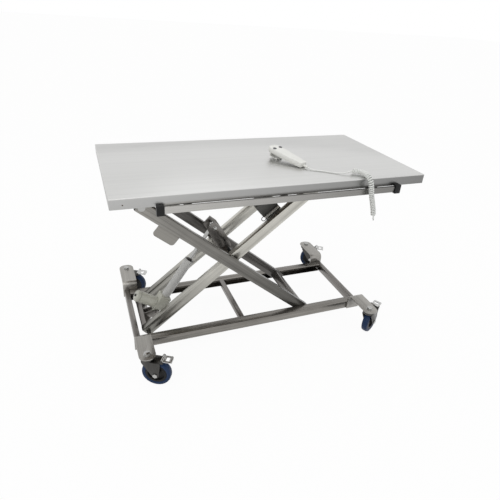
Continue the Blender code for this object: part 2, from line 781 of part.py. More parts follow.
def outer_arms(outer):
    for name, side in SIDES.items():
        arm = hollow_bar(
            f"outer_arm_{name}", (2 * (ARM_HALF + ARM_END), ARM_WIDTH, ARM_HEIGHT), TUBE_WALL,
            TUBE_STEEL, outer, (0, side * OUTER_ARM_Y, 0),
        )
        reach = ARM_WIDTH / 2 + OVERRUN
        cut(arm, drum(PIVOT_RADIUS + GAP, -reach, reach, "Y", (-ARM_HALF, 0), ROUND_SIDES))
        start = side * (OUTER_ARM_IN - WELD_PROUD - OUTER_ARM_Y)
        collar_end = side * (BASE_ROLLER_Y - ROLLER_WIDTH / 2 - GAP - OUTER_ARM_Y)
        end = side * (BASE_RAIL_OUT - 2 * CHANNEL_WALL - OUTER_ARM_Y)
        roller_pin(arm, ARM_HALF, start, collar_end, end)


def roller(title, axle):
    half = ROLLER_WIDTH / 2
    bore = PIN_RADIUS + GAP
    profile = [(bore, half), (ROLLER_RADIUS, half), (ROLLER_RADIUS, -half), (bore, -half)]
    turned(title, profile, ROUND_SIDES, BLACK_PLASTIC, axle, turn=TO_Y, ring=True)


def rollers(inner, outer):
    for name, side in SIDES.items():
        upper = new_empty(f"upper_roller_axle_{name}", inner, (2 * ARM_HALF, side * TOP_ROLLER_Y, 0))
        lower = new_empty(f"lower_roller_axle_{name}", outer, (ARM_HALF, side * BASE_ROLLER_Y, 0))
        roller(f"upper_roller_{name}", upper)
        roller(f"lower_roller_{name}", lower)


def inner_lower_tube(inner):
    """The cross tube at the inner arms' feet, with the lugs and pin of the actuator's tail."""
    tube = hollow_bar(
        "inner_lower_tube", (2 * (INNER_ARM_IN - GAP), PIVOT_TUBE_WIDTH, ARM_HEIGHT), TUBE_WALL,
        TUBE_STEEL, inner, (0, 0, 0), CROSSWISE,
    )
    face = PIVOT_TUBE_WIDTH / 2 - TUBE_WALL / 2
    high = ARM_HEIGHT / 2 - TUBE_CORNER
    lug = [(face, high), (face, -high), *arc(TAIL_PIN, CLEVIS_RADIUS, -110, 60, 8)]
    unturn = Matrix.Rotation(-QUARTER, 4, "Z")
    for side in SIDES.values():
        shape = outline_plate(lug, CLEVIS_LUG, unturn @ upright(side * TAIL_LUG_Y))
        join(tube, shape)
    reach = TAIL_LUG_Y + CLEVIS_LUG
    pin = drum(PIN_RADIUS, -reach, reach, "Y", TAIL_PIN)
    pin.transform(unturn)
    join(tube, pin)


def outer_lower_tube(outer):
    hollow_bar(
        "outer_lower_tube", (2 * (OUTER_ARM_IN - GAP), LOWER_TUBE_SIZE, LOWER_TUBE_SIZE), TUBE_WALL,
        TUBE_STEEL, outer, (LOWER_TUBE_X, 0, 0), CROSSWISE,
    )


def centre_lug_outline():
    """One of the plates between the centre tube and the rod's pin."""
    x, z = ROD_PIN
    radius = CENTRE_TUBE_RADIUS
    root = [(radius * a, radius * b) for a, b in LUG_ROOT_SHARES]
    ear = [(x + CLEVIS_RADIUS * a, z + CLEVIS_RADIUS * b) for a, b in LUG_EAR_SHARES]
    return [*root, (x * LUG_BEND_SHARE, z), *ear, (-radius, -radius * LUG_BEND_SHARE)]


def centre_tube(outer):
    """The tube and shaft at the middle of the scissor, with the plates that the rod's pin pushes on."""
    shaft_end = OUTER_ARM_IN - GAP
    web = CENTRE_WEB / 2
    bore = CENTRE_TUBE_RADIUS - CENTRE_TUBE_WALL
    upper = [
        (0, shaft_end), (CENTRE_SHAFT_RADIUS, shaft_end), (CENTRE_SHAFT_RADIUS, web), (bore, web),
        (bore, CENTRE_TUBE_HALF), (CENTRE_TUBE_RADIUS, CENTRE_TUBE_HALF),
    ]
    profile = upper + [(x, -z) for x, z in reversed(upper)]
    tube = turned("centre_tube", profile, ROUND_SIDES, TUBE_STEEL, outer, turn=TO_Y)
    unturn = Matrix.Rotation(QUARTER, 4, "X")
    for y in (LUG_FRONT_Y, LUG_BACK_Y):
        join(tube, outline_plate(centre_lug_outline(), LUG_PLATE, unturn @ upright(y)))
    start = LUG_FRONT_Y - LUG_PLATE
    end = LUG_BACK_Y + LUG_PLATE
    pin = drum(PIN_RADIUS, start, end, "Y", ROD_PIN)
    pin.transform(unturn)
    join(tube, pin)


def bare_plate(outer):
    """The bare plate below the front outer arm."""
    top = -ARM_HEIGHT / 2 - GAP
    low = top - ARM_PLATE_DEPTH
    left = ARM_PLATE_START + ARM_PLATE_CORNER
    right = ARM_PLATE_END - ARM_PLATE_CORNER
    floor = low + ARM_PLATE_CORNER
    outline = [
        (ARM_PLATE_START, top),
        *arc((left, floor), ARM_PLATE_CORNER, 180, 270, 5),
        *arc((right, floor), ARM_PLATE_CORNER, 270, 360, 5),
        (ARM_PLATE_END, top),
    ]
    shape = outline_plate(outline, ARM_PLATE_THICK, upright())
    put("bare_plate", to_mesh("bare_plate", shape), SHEET_STEEL, outer, (0, -OUTER_ARM_Y, 0))


def control_box(inner):
    """The control box between the inner arms, on the strap that carries it."""
    shape = box((BOX_LENGTH, BOX_WIDTH, BOX_HEIGHT), (0, 0, BOX_HEIGHT / 2), BOX_BEVEL)
    housing = put(
        "control_box", to_mesh("control_box", shape), ACTUATOR_GREY, inner, (BOX_X, 0, BOX_BOTTOM)
    )
    strap_width = 2 * (INNER_ARM_IN - GAP)
    join(housing, box((BOX_STRAP_LENGTH, strap_width, BOX_STRAP), (0, 0, BOX_BEVEL + BOX_STRAP / 2)))


def actuator_angle():
    """Angle of the actuator above the inner arms, and its length between pins."""
    turn = 2 * LIFT_ANGLE
    x, z = ROD_PIN
    rod_x = ARM_HALF + x * math.cos(turn) + z * math.sin(turn)
    rod_z = -x * math.sin(turn) + z * math.cos(turn)
    across = (rod_x - TAIL_PIN[0], rod_z - TAIL_PIN[1])
    return math.atan2(across[1], across[0]), math.hypot(*across)


def actuator_housing(tail):
    """The gearbox with its tail eye and the motor, which stands square to the tube."""
    length = HOUSING_END - HOUSING_START
    height = HOUSING_HIGH - HOUSING_LOW
    middle = (HOUSING_START + HOUSING_END) / 2
    shape = box((length, HOUSING_WIDTH, height), (middle, 0, (HOUSING_HIGH + HOUSING_LOW) / 2), HOUSING_BEVEL)
    housing = put("actuator_housing", to_mesh("actuator_housing", shape), ACTUATOR_GREY, tail)
    neck = HOUSING_START + HOUSING_BEVEL
    join(housing, drum(EYE_RADIUS, -EYE_WIDTH / 2, EYE_WIDTH / 2))
    join(housing, box((neck, EYE_WIDTH, NECK_HEIGHT), (neck / 2, 0, 0)))
    motor = drum(MOTOR_RADIUS, HOUSING_HIGH - 2 * HOUSING_BEVEL, MOTOR_END, "Z", (MOTOR_X, 0), ROUND_SIDES)
    rim = [e for e in motor.edges if all(v.co.z > MOTOR_END / 2 for v in e.verts)]
    bmesh.ops.bevel(motor, geom=rim, offset=MOTOR_BEVEL, segments=2, affect="EDGES", profile=0.5)
    join(housing, motor)
    cut(housing, drum(PIN_RADIUS + GAP, -EYE_WIDTH, EYE_WIDTH))


def actuator_tube(tail):
    start = HOUSING_END + GAP
    collar = OUTER_TUBE_END - OUTER_COLLAR_LENGTH
    profile = [
        (OUTER_TUBE_BORE, OUTER_TUBE_END), (OUTER_COLLAR_RADIUS, OUTER_TUBE_END),
        (OUTER_COLLAR_RADIUS, collar), (OUTER_TUBE_RADIUS, collar),
        (OUTER_TUBE_RADIUS, start), (OUTER_TUBE_BORE, start),
    ]
    turned("actuator_tube", profile, ROUND_SIDES, ACTUATOR_GREY, tail, turn=TO_X, ring=True)


def actuator_rod(rod_pivot):
    """The rod that slides in the tube, with its eye on the centre tube's pin."""
    shape = drum(ROD_RADIUS, -ROD_LENGTH, 0, "X", sides=ROUND_SIDES)
    rod = put("actuator_rod", to_mesh("actuator_rod", shape), BRIGHT_STEEL, rod_pivot)
    join(rod, drum(EYE_RADIUS, -ROD_EYE_WIDTH / 2, ROD_EYE_WIDTH / 2))
    cut(rod, drum(PIN_RADIUS + GAP, -EYE_WIDTH, EYE_WIDTH))


def on_top(x=0.0, y=0.0, z=0.0):
    """A table place in the frame of the top, whose origin is on its pivot."""
    return (x - PIVOT_X, y, z - TOP_PIVOT_Z)


def tray(top):
    """The sheet steel tray, turned down all round and lipped inwards."""
    bm = bmesh.new()
    bmesh.ops.create_cube(bm, size=1)
    bmesh.ops.scale(bm, vec=(TOP_LENGTH, TOP_WIDTH, SKIRT_HEIGHT), verts=bm.verts)
    bmesh.ops.bevel(bm, geom=bm.edges[:], offset=TRAY_BEND, segments=2, affect="EDGES", profile=0.5)
    bm.normal_update()
    under = max((f for f in bm.faces if f.normal.z < -0.99), key=lambda f: f.calc_area())
    bmesh.ops.inset_region(bm, faces=[under], thickness=TRAY_LIP - TRAY_BEND, use_even_offset=True)
    bmesh.ops.delete(bm, geom=[under], context="FACES_ONLY")
    mesh = bpy.data.meshes.new("tray")
    bm.to_mesh(mesh)
    bm.free()
    place = on_top(z=TRAY_TOP - SKIRT_HEIGHT / 2)
    sheet = put("tray", mesh, SHEET_STEEL, top, place)
    solidify(sheet, SHEET)
    front = -TOP_WIDTH / 2
    hole = (-TOP_LENGTH / 2 + SKIRT_HOLE_INSET, SKIRT_HEIGHT / 2 - SKIRT_HOLE_DROP)
    cut(sheet, drum(SKIRT_HOLE_RADIUS, front - OVERRUN, front + OVERRUN, "Y", hole))


def core_board(top):
    margin = 2 * (SHEET + BOARD_MARGIN)
    shape = box((TOP_LENGTH - margin, TOP_WIDTH - margin, BOARD_THICK))
    place = on_top(z=BOARD_BOTTOM + BOARD_THICK / 2)
    put("core_board", to_mesh("core_board", shape), BOARD_BROWN, top, place)


def top_channels(top):
    length = TOP_CHANNEL_RIGHT - TOP_CHANNEL_LEFT
    middle = (TOP_CHANNEL_RIGHT + TOP_CHANNEL_LEFT) / 2
    for name, side in SIDES.items():
        hollow_bar(
            f"top_channel_{name}", (length, CHANNEL_SIZE, CHANNEL_SIZE), CHANNEL_WALL, TUBE_STEEL,
            top, on_top(middle, side * TOP_CHANNEL_Y, TOP_PIVOT_Z), mouth=side,
        )


def bearers(top):
    z = BEARER_BOTTOM + BEARER_HEIGHT / 2
    for name, x in (("middle", BEARER_MIDDLE_X), ("right", BEARER_RIGHT_X)):
        hollow_bar(
            f"bearer_{name}", (2 * BEARER_HALF, BEARER_WIDTH, BEARER_HEIGHT), TUBE_WALL, TUBE_STEEL,
            top, on_top(x, 0, z), CROSSWISE,
        )
    pivot = hollow_bar(
        "bearer_pivot", (2 * PIVOT_BEARER_HALF, BEARER_WIDTH, BEARER_HEIGHT), TUBE_WALL, TUBE_STEEL,
        top, on_top(PIVOT_X, 0, z), CROSSWISE,
    )
    drop = z - TOP_PIVOT_Z
    height = drop + PIVOT_LUG_DROP
    for side in SIDES.values():
        lug = box(
            (PIVOT_LUG, PIVOT_LUG_LENGTH, height), (side * PIVOT_LUG_Y, 0, height / 2 - drop - PIVOT_LUG_DROP)
        )
        join(pivot, lug)
    reach = PIVOT_BEARER_HALF
    cut(pivot, drum(PIVOT_RADIUS + GAP, -reach, reach, "X", (0, -drop), ROUND_SIDES))


def top_pivot_shaft(top):
    inside = OUTER_ARM_OUT + GAP
    reach = inside + PIVOT_HEAD / 2
    shape = drum(PIVOT_RADIUS, -reach, reach, sides=ROUND_SIDES)
    shaft = put("top_pivot_shaft", to_mesh("top_pivot_shaft", shape), BRIGHT_STEEL, top)
    for side in SIDES.values():
        join(shaft, drum(PIVOT_HEAD_RADIUS, side * inside, side * (inside + PIVOT_HEAD), sides=ROUND_SIDES))


def rail_bracket_outline():
    """Side view of a rail bracket: off the rail's back, under the skirt and up to the board."""
    t = RAIL_BRACKET_PLATE
    foot = RAIL_BACK_Y - RAIL_THICK / 2
    leg = -TOP_WIDTH / 2 + RAIL_BRACKET_INSET
    low = RAIL_MID_HEIGHT - t / 2
    high = BOARD_BOTTOM - GAP
    return [
        (foot, low), (leg + t, low), (leg + t, high - t), (leg + RAIL_BRACKET_FLAT, high - t),
        (leg + RAIL_BRACKET_FLAT, high), (leg, high), (leg, low + t), (foot, low + t),
    ]


def accessory_rail(top):
    """The flat rail along the front, stepped down inside its caps, with the brackets that hold it."""
    length = RAIL_RIGHT - RAIL_LEFT
    bare = length - 2 * (CAP_COVER + GAP)
    place = ((RAIL_LEFT + RAIL_RIGHT) / 2, RAIL_BACK_Y - RAIL_THICK / 2, RAIL_MID_HEIGHT)
    shape = box((bare, RAIL_THICK, RAIL_HEIGHT), place)
    rail = put("accessory_rail", to_mesh("accessory_rail", shape), BRIGHT_STEEL, top, on_top())
    join(rail, box((length, RAIL_THICK - 2 * RAIL_END_STEP, RAIL_HEIGHT - 2 * RAIL_END_STEP), place))
    to_side = Matrix.Rotation(QUARTER, 4, "Z") @ Matrix.Rotation(QUARTER, 4, "X")
    for x in RAIL_BRACKET_PLACES:
        place = Matrix.Translation((x, 0, 0)) @ to_side
        join(rail, outline_plate(rail_bracket_outline(), RAIL_BRACKET_WIDTH, place))


def rail_caps(top):
    """The black caps pushed over the rail's two ends."""
    y = RAIL_BACK_Y - RAIL_THICK / 2
    for name, end, side in (("left", RAIL_LEFT, -1), ("right", RAIL_RIGHT, 1)):
        middle = end + side * (CAP_LENGTH / 2 - CAP_COVER)
        title = f"rail_cap_{name}"
        cap = put(
            title, to_mesh(title, box((CAP_LENGTH, CAP_DEPTH, CAP_HEIGHT), bevel=CAP_BEVEL)),
            BLACK_PLASTIC, top, on_top(middle, y, RAIL_MID_HEIGHT),
        )
        depth = CAP_COVER + GAP + OVERRUN
        pocket_x = -side * (CAP_LENGTH / 2 + OVERRUN - depth / 2)
        less = 2 * (RAIL_END_STEP - GAP)
        cut(cap, box((depth, RAIL_THICK - less, RAIL_HEIGHT - less), (pocket_x, 0, 0)))


def cord_socket(top):
    """The socket under the board that the handset's cord plugs into."""
    place = on_top(SOCKET_X, -TOP_WIDTH / 2 + SOCKET_INSET, BOARD_BOTTOM - GAP)
    shape = box((SOCKET_SIZE, SOCKET_SIZE, SOCKET_HEIGHT), (0, 0, -SOCKET_HEIGHT / 2), CAP_BEVEL)
    socket = put("cord_socket", to_mesh("cord_socket", shape), BLACK_PLASTIC, top, place)
    join(socket, drum(GLAND_RADIUS, -SOCKET_HEIGHT - GLAND_LENGTH, -SOCKET_HEIGHT / 2, "Z"))


def handset_outline():
    """Plan of the handset from its tail, at the cord, to its wider head."""
    tail = HANDSET_TAIL_WIDTH / 2
    head = HANDSET_HEAD_WIDTH / 2
    far = HANDSET_LENGTH - HANDSET_CORNER
    side = head - HANDSET_CORNER
    near = HANDSET_CORNER / 2
    return [
        *arc((near, -tail + near), near, 180, 270, 3),
        (HANDSET_FLARE_SHARE * HANDSET_LENGTH, -head),
        *arc((far, -side), HANDSET_CORNER, -90, 0, 4),
        *arc((far, side), HANDSET_CORNER, 0, 90, 4),
        (HANDSET_FLARE_SHARE * HANDSET_LENGTH, head),
        *arc((near, tail - near), near, 90, 180, 3),
    ]


def hook_outline():
    """Side view of the hook that the handset hangs by."""
    start = HOOK_START
    end = HOOK_START + HOOK_LENGTH
    t = HOOK_STRIP
    return [
        (end, t), (end, -HOOK_DROP), (start, -HOOK_DROP), (start, HOOK_TIP - HOOK_DROP),
        (start + t, HOOK_TIP - HOOK_DROP), (start + t, t - HOOK_DROP), (end - t, t - HOOK_DROP), (end - t, t),
    ]


def handset(top):
    """The hand control, which lies on its hook and its tail on the tray."""
    place = on_top(*HANDSET_TAIL, TRAY_TOP + GAP)
    hold = new_empty("handset_hold", top, place, (0, -HANDSET_TILT, HANDSET_TURN))
    lift = Matrix.Translation((0, 0, HANDSET_THICK / 2))
    shape = outline_plate(handset_outline(), HANDSET_THICK, lift)
    rims = [e for e in shape.edges if len(e.link_faces) == 2 and e.calc_face_angle() > math.radians(80)]
    bmesh.ops.bevel(shape, geom=rims, offset=HANDSET_BEVEL, segments=2, affect="EDGES", profile=0.5)
    body = put("handset", to_mesh("handset", shape), HANDSET_WHITE, hold)
    join(body, outline_plate(hook_outline(), HOOK_WIDTH, upright()))
    join(body, drum(RELIEF_RADIUS, -RELIEF_LENGTH, HANDSET_BEVEL, "X", (0, RELIEF_HEIGHT)))
    well = BUTTON_RADIUS + GAP
    for name, side in (("up", 1), ("down", -1)):
        spot = (BUTTON_X, side * BUTTON_Y)
        floor = HANDSET_THICK - BUTTON_SINK
        cut(body, drum(well, floor, HANDSET_THICK + OVERRUN, "Z", spot))
        key = drum(BUTTON_RADIUS, BUTTON_TRAVEL + GAP, BUTTON_HEIGHT, "Z")
        title = f"handset_button_{name}"
        put(title, to_mesh(title, key), BUTTON_GREY, hold, (*spot, floor))


def smooth_route(route, step):
    """Points about a step apart along a smooth curve through the route's own points."""
    knots = [Vector(p) for p in route]
    knots = [2 * knots[0] - knots[1], *knots, 2 * knots[-1] - knots[-2]]
    points = []
    for a, b, c, d in zip(knots, knots[1:], knots[2:], knots[3:]):
        count = max(1, round((c - b).length / step))
        for i in range(count):
            t = i / count
            square = (2 * a - 5 * b + 4 * c - d) * t**2
            cube = (3 * b - a - 3 * c + d) * t**3
            points.append((2 * b + (c - a) * t + square + cube) / 2)
    return [*points, knots[-2]]


def even_route(route, count):
    """A number of points evenly apart along the route's smooth curve."""
    fine = smooth_route(route, WIRE_RADIUS / 2)
    lengths = [0.0]
    for a, b in zip(fine, fine[1:]):
        lengths.append(lengths[-1] + (b - a).length)
    points = []
    at = 0
    for i in range(count):
        want = lengths[-1] * i / (count - 1)
        while at < len(fine) - 2 and lengths[at + 1] < want:
            at += 1
        share = (want - lengths[at]) / (lengths[at + 1] - lengths[at])
        points.append(fine[at].lerp(fine[at + 1], share))
    return points, lengths[-1]


def curly_points():
    """The helix along the curly stretch; both ends lie straight on the route for one wire diameter."""
    length = even_route(CURL_ROUTE, 2)[1]
    curls = round(length / CURL_PITCH)
    total = curls * CURL_POINTS + 1
    centres = even_route(CURL_ROUTE, total)[0]
    side = Vector((0, 0, 1))
    straight = math.ceil(2 * WIRE_RADIUS / length * (total - 1))
    points = []
    for i, centre in enumerate(centres):
        ahead = centres[min(i + 1, total - 1)] - centres[max(i - 1, 0)]
        ahead.normalize()
        side = (side - side.dot(ahead) * ahead).normalized()
        across = ahead.cross(side)
        from_end = min(i, total - 1 - i) - straight
        swell = min(max(from_end / CURL_POINTS, 0), 1)
        radius = CURL_RADIUS * swell * swell * (3 - 2 * swell)
        angle = 2 * math.pi * i / CURL_POINTS
        points.append(centre + radius * (math.cos(angle) * side + math.sin(angle) * across))
    return points, curls


def least_self_gap(points):
    """The least clear space between turns of the wire, from its points to its later runs."""
    least = float("inf")
    for i, point in enumerate(points):
        for j in range(i + CURL_POINTS - 2, min(i + 3 * CURL_POINTS, len(points) - 1)):
            a, b = points[j], points[j + 1]
            share = max(0, min(1, (point - a).dot(b - a) / (b - a).length_squared))
            least = min(least, (a.lerp(b, share) - point).length)
    return least - 2 * WIRE_RADIUS


def wire(title, points, resolution, top):
    curve = bpy.data.curves.new(title, "CURVE")
    curve.dimensions = "3D"
    curve.bevel_depth = WIRE_RADIUS
    curve.bevel_resolution = resolution
    curve.use_fill_caps = True
    spline = curve.splines.new("POLY")
    spline.points.add(len(points) - 1)
    for target, point in zip(spline.points, points):
        target.co = (*point, 1)
    put(title, curve, HANDSET_WHITE, top, on_top())


def handset_cord(top):
    """The free cord: a straight lead, the curly stretch over the edge, and the tail up to its socket."""
    lead = smooth_route(LEAD_ROUTE, CORD_STEP)
    tail = smooth_route(TAIL_ROUTE, CORD_STEP)
    curls, count = curly_points()
    for points in (lead, tail):
        points[0] += (points[1] - points[0]).normalized() * GAP
        points[-1] += (points[-2] - points[-1]).normalized() * GAP
    wire("cord_lead", lead, 2, top)
    wire("cord_curl", curls, 1, top)
    wire("cord_tail", tail, 2, top)
    print(f"curly cord: {count} curls, least gap to itself {1000 * least_self_gap(curls):.2f} mm")


def main():
    root = new_empty("table_origin", None, (0, CENTRE_SHIFT_Y, 0))
    base_rails(root)
    base_end_rails(root)
    base_cross_tube(root)
    base_pivot_shaft(root)
    castor_brackets(root)
    castors(root)

    inner = new_empty("inner_arm_pivot", root, (PIVOT_X, 0, RAIL_MID_Z), (0, -LIFT_ANGLE, 0))
    outer = new_empty("outer_arm_pivot", inner, (ARM_HALF, 0, 0), (0, 2 * LIFT_ANGLE, 0))
    top = new_empty("top_pivot", outer, (-ARM_HALF, 0, 0), (0, -LIFT_ANGLE, 0))
    inner_arms(inner)
    inner_lower_tube(inner)
    control_box(inner)
    outer_arms(outer)
    outer_lower_tube(outer)
    centre_tube(outer)
    bare_plate(outer)
    rollers(inner, outer)

    angle = actuator_angle()[0]
    tail = new_empty("actuator_tail_pivot", inner, (TAIL_PIN[0], 0, TAIL_PIN[1]), (0, -angle, 0))
    rod_turn = 2 * LIFT_ANGLE + angle
    rod_pivot = new_empty("actuator_rod_pivot", outer, (ROD_PIN[0], 0, ROD_PIN[1]), (0, -rod_turn, 0))
    actuator_housing(tail)
    actuator_tube(tail)
    actuator_rod(rod_pivot)

    top_channels(top)
    bearers(top)
    top_pivot_shaft(top)
    core_board(top)
    tray(top)
    accessory_rail(top)
    rail_caps(top)
    cord_socket(top)
    handset(top)
    handset_cord(top)


main()
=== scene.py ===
"""Looks of a veterinary examination table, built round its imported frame. Metres, Z up, from the floor."""

import json
import math

import bmesh
import bpy
from mathutils import Matrix, Vector


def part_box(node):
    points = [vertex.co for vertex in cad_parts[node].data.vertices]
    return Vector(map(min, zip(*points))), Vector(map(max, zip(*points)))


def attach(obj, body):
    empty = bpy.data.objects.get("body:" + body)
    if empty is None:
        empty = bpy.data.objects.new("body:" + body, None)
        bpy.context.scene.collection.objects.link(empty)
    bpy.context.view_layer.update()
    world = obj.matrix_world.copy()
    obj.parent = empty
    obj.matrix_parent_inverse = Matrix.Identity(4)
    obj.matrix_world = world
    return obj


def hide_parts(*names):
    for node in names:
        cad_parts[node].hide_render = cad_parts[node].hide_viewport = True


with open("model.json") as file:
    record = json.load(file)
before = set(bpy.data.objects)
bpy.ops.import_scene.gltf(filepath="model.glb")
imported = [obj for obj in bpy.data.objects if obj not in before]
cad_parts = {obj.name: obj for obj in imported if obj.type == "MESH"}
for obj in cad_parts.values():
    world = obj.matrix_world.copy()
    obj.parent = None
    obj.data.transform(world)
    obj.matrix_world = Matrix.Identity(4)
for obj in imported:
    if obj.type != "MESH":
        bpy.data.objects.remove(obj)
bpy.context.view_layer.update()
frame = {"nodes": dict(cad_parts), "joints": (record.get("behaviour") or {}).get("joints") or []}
JOINTS = {joint["name"]: joint for joint in frame["joints"]}
CORNERS = ("front_left", "back_left", "front_right", "back_right")
SIDES = {"front": -1, "back": 1}
QUARTER = math.pi / 2

# The table's own places
CENTRE_Y = 0.012
LIFT_ANGLE = math.radians(39.3)
LIFT_PLACE = Vector(JOINTS["lift"]["pos_m"])
TAIL_PLACE = Vector(JOINTS["actuator_tail"]["pos_m"])
HEAD_PLACE = Vector(JOINTS["actuator_head"]["pos_m"])
SCISSOR_CENTRE = Vector(JOINTS["scissor_centre"]["pos_m"])
TRAY_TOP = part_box("tray")[1].z
TUBE_ANGLE = math.atan2(HEAD_PLACE.z - TAIL_PLACE.z, HEAD_PLACE.x - TAIL_PLACE.x)
INNER_FRAME = Matrix.Translation(LIFT_PLACE) @ Matrix.Rotation(-LIFT_ANGLE, 4, "Y")
OUTER_FRAME = Matrix.Translation(SCISSOR_CENTRE) @ Matrix.Rotation(LIFT_ANGLE, 4, "Y")
TUBE_FRAME = Matrix.Translation(TAIL_PLACE) @ Matrix.Rotation(-TUBE_ANGLE, 4, "Y")

# Camera, solved from the photograph
CAMERA_PLACE = Vector((-0.71128, -1.68107, 1.40288))
CAMERA_YAW = math.radians(22.84)
CAMERA_PITCH = math.radians(29.34)
CAMERA_ROLL = math.radians(4.09)
CAMERA_SENSOR_MM = 36.0
CAMERA_LENS_MM = 30.91

# Brightness of the studio's sky, from the horizon up
SKY_TONES = ((0.0, 0.55), (0.12, 0.60), (0.30, 0.95), (1.0, 1.0))

# Cord
WIRE_RADIUS = 0.0025
CURL_RADIUS = 0.0086
CURL_PITCH = 0.0083
CURL_POINTS = 28
CORD_STEP = 0.004
CORD_GAP = 0.0003

# Fasteners on the castors
BRACKET_TOP = 0.150
HEX_SIDES = 6
WASHER_RADIUS = 0.0160
WASHER_THICK = 0.0015
STEM_BOLT_RADIUS = 0.0140
STEM_BOLT_TOP = 0.0088
AXLE_NUT_RADIUS = 0.0108
AXLE_NUT_START = 0.0253
AXLE_NUT_END = 0.0306

# Motor, along its own axis from the tube's line, and the bolt in the yoke
MOTOR_X = 0.043
MOTOR_SIDES = 32
FLANGE_RADIUS = 0.0295
FLANGE_START = 0.0285
FLANGE_END = 0.0330
SEAM_RADIUS = 0.0273
SEAM_START = 0.1120
SEAM_END = 0.1132
OUTLET_RADIUS = 0.0060
OUTLET_START = 0.1290
OUTLET_END = 0.1345
SCREWS = 4
SCREW_CIRCLE = 0.019
SCREW_RADIUS = 0.0023
SCREW_START = 0.1295
SCREW_END = 0.1312
YOKE_WASHER_RADIUS = 0.0105
YOKE_BOLT_RADIUS = 0.0085
YOKE_FACE = 0.0342
YOKE_WASHER_END = 0.0357
YOKE_BOLT_END = 0.0415

# Two corners of each block, in the frame of the arms that carry it
BUSH_CORNERS = ((-0.020, -0.0915, -0.018), (0.034, -0.052, 0.034))
STRIP_CORNERS = ((0.742, -0.070, 0.0152), (0.828, -0.056, 0.0200))
BLOCK_ROUNDING = 0.003

# Ribs on the carrier plate and the wire eye at the control box
RIBS = 6
RIB_START = 0.750
RIB_PITCH = 0.0138
RIB_WIDTH = 0.005
RIB_FRONT = -0.088
RIB_BACK = -0.072
RIB_BOTTOM = 0.0150
RIB_TOP = 0.0185
EYE_PLACE = Vector((0.736, -0.0480, 0.008))
EYE_RADIUS = 0.0107
EYE_WIRE_RADIUS = 0.0017
EYE_POINTS = 21
EYE_STEP = math.radians(15)

# Floor
FLOOR_SIZE = 40
FLOOR_DROP = 0.0005
FLOOR_WHITE_SHARE = 0.95

ROUTE_SHIFT = Vector((0, CENTRE_Y, 0))
LEAD_ROUTE = (
    (0.1652, -0.1685, 0.8371),
    (0.1691, -0.1776, 0.8355),
    (0.1765, -0.1875, 0.8338),
    (0.1900, -0.1965, 0.8329),
    (0.2120, -0.2090, 0.8329),
    (0.2400, -0.2300, 0.8329),
    (0.2660, -0.2490, 0.8335),
    (0.2860, -0.2590, 0.8365),
    (0.3030, -0.2622, 0.8405),
    (0.3150, -0.2622, 0.8418),
)
CURL_ROUTE = (
    (0.3150, -0.2622, 0.8418),
    (0.3270, -0.2622, 0.8431),
    (0.3440, -0.2665, 0.8427),
    (0.3575, -0.2790, 0.8422),
    (0.3620, -0.2960, 0.8422),
    (0.3610, -0.3120, 0.8424),
    (0.3590, -0.3290, 0.8412),
    (0.3585, -0.3430, 0.8340),
    (0.3600, -0.3515, 0.8205),
    (0.3635, -0.3545, 0.8030),
    (0.3720, -0.3550, 0.7700),
    (0.3860, -0.3555, 0.7300),
    (0.3960, -0.3560, 0.6980),
    (0.4040, -0.3565, 0.6680),
)
TAIL_ROUTE = (
    (0.4040, -0.3565, 0.6680),
    (0.4062, -0.3568, 0.6605),
    (0.4094, -0.3538, 0.6538),
    (0.4145, -0.3470, 0.6500),
    (0.4196, -0.3390, 0.6515),
    (0.4222, -0.3330, 0.6590),
    (0.4218, -0.3308, 0.6700),
    (0.4190, -0.3280, 0.6900),
    (0.4145, -0.3190, 0.7180),
    (0.4165, -0.3030, 0.7380),
    (0.4228, -0.2910, 0.7550),
    (0.4240, -0.2880, 0.7658),
)


def make_camera():
    forward = Vector((
        math.sin(CAMERA_YAW) * math.cos(CAMERA_PITCH),
        math.cos(CAMERA_YAW) * math.cos(CAMERA_PITCH),
        -math.sin(CAMERA_PITCH),
    ))
    right = Vector((math.cos(CAMERA_YAW), -math.sin(CAMERA_YAW), 0))
    up = right.cross(forward)
    rolled_right = math.cos(CAMERA_ROLL) * right + math.sin(CAMERA_ROLL) * up
    rolled_up = math.cos(CAMERA_ROLL) * up - math.sin(CAMERA_ROLL) * right
    data = bpy.data.cameras.new("camera")
    data.sensor_width = CAMERA_SENSOR_MM
    data.lens = CAMERA_LENS_MM
    camera = bpy.data.objects.new("camera", data)
    bpy.context.scene.collection.objects.link(camera)
    turn = Matrix((rolled_right, rolled_up, -forward)).transposed().to_4x4()
    camera.matrix_world = Matrix.Translation(CAMERA_PLACE) @ turn
    bpy.context.scene.camera = camera


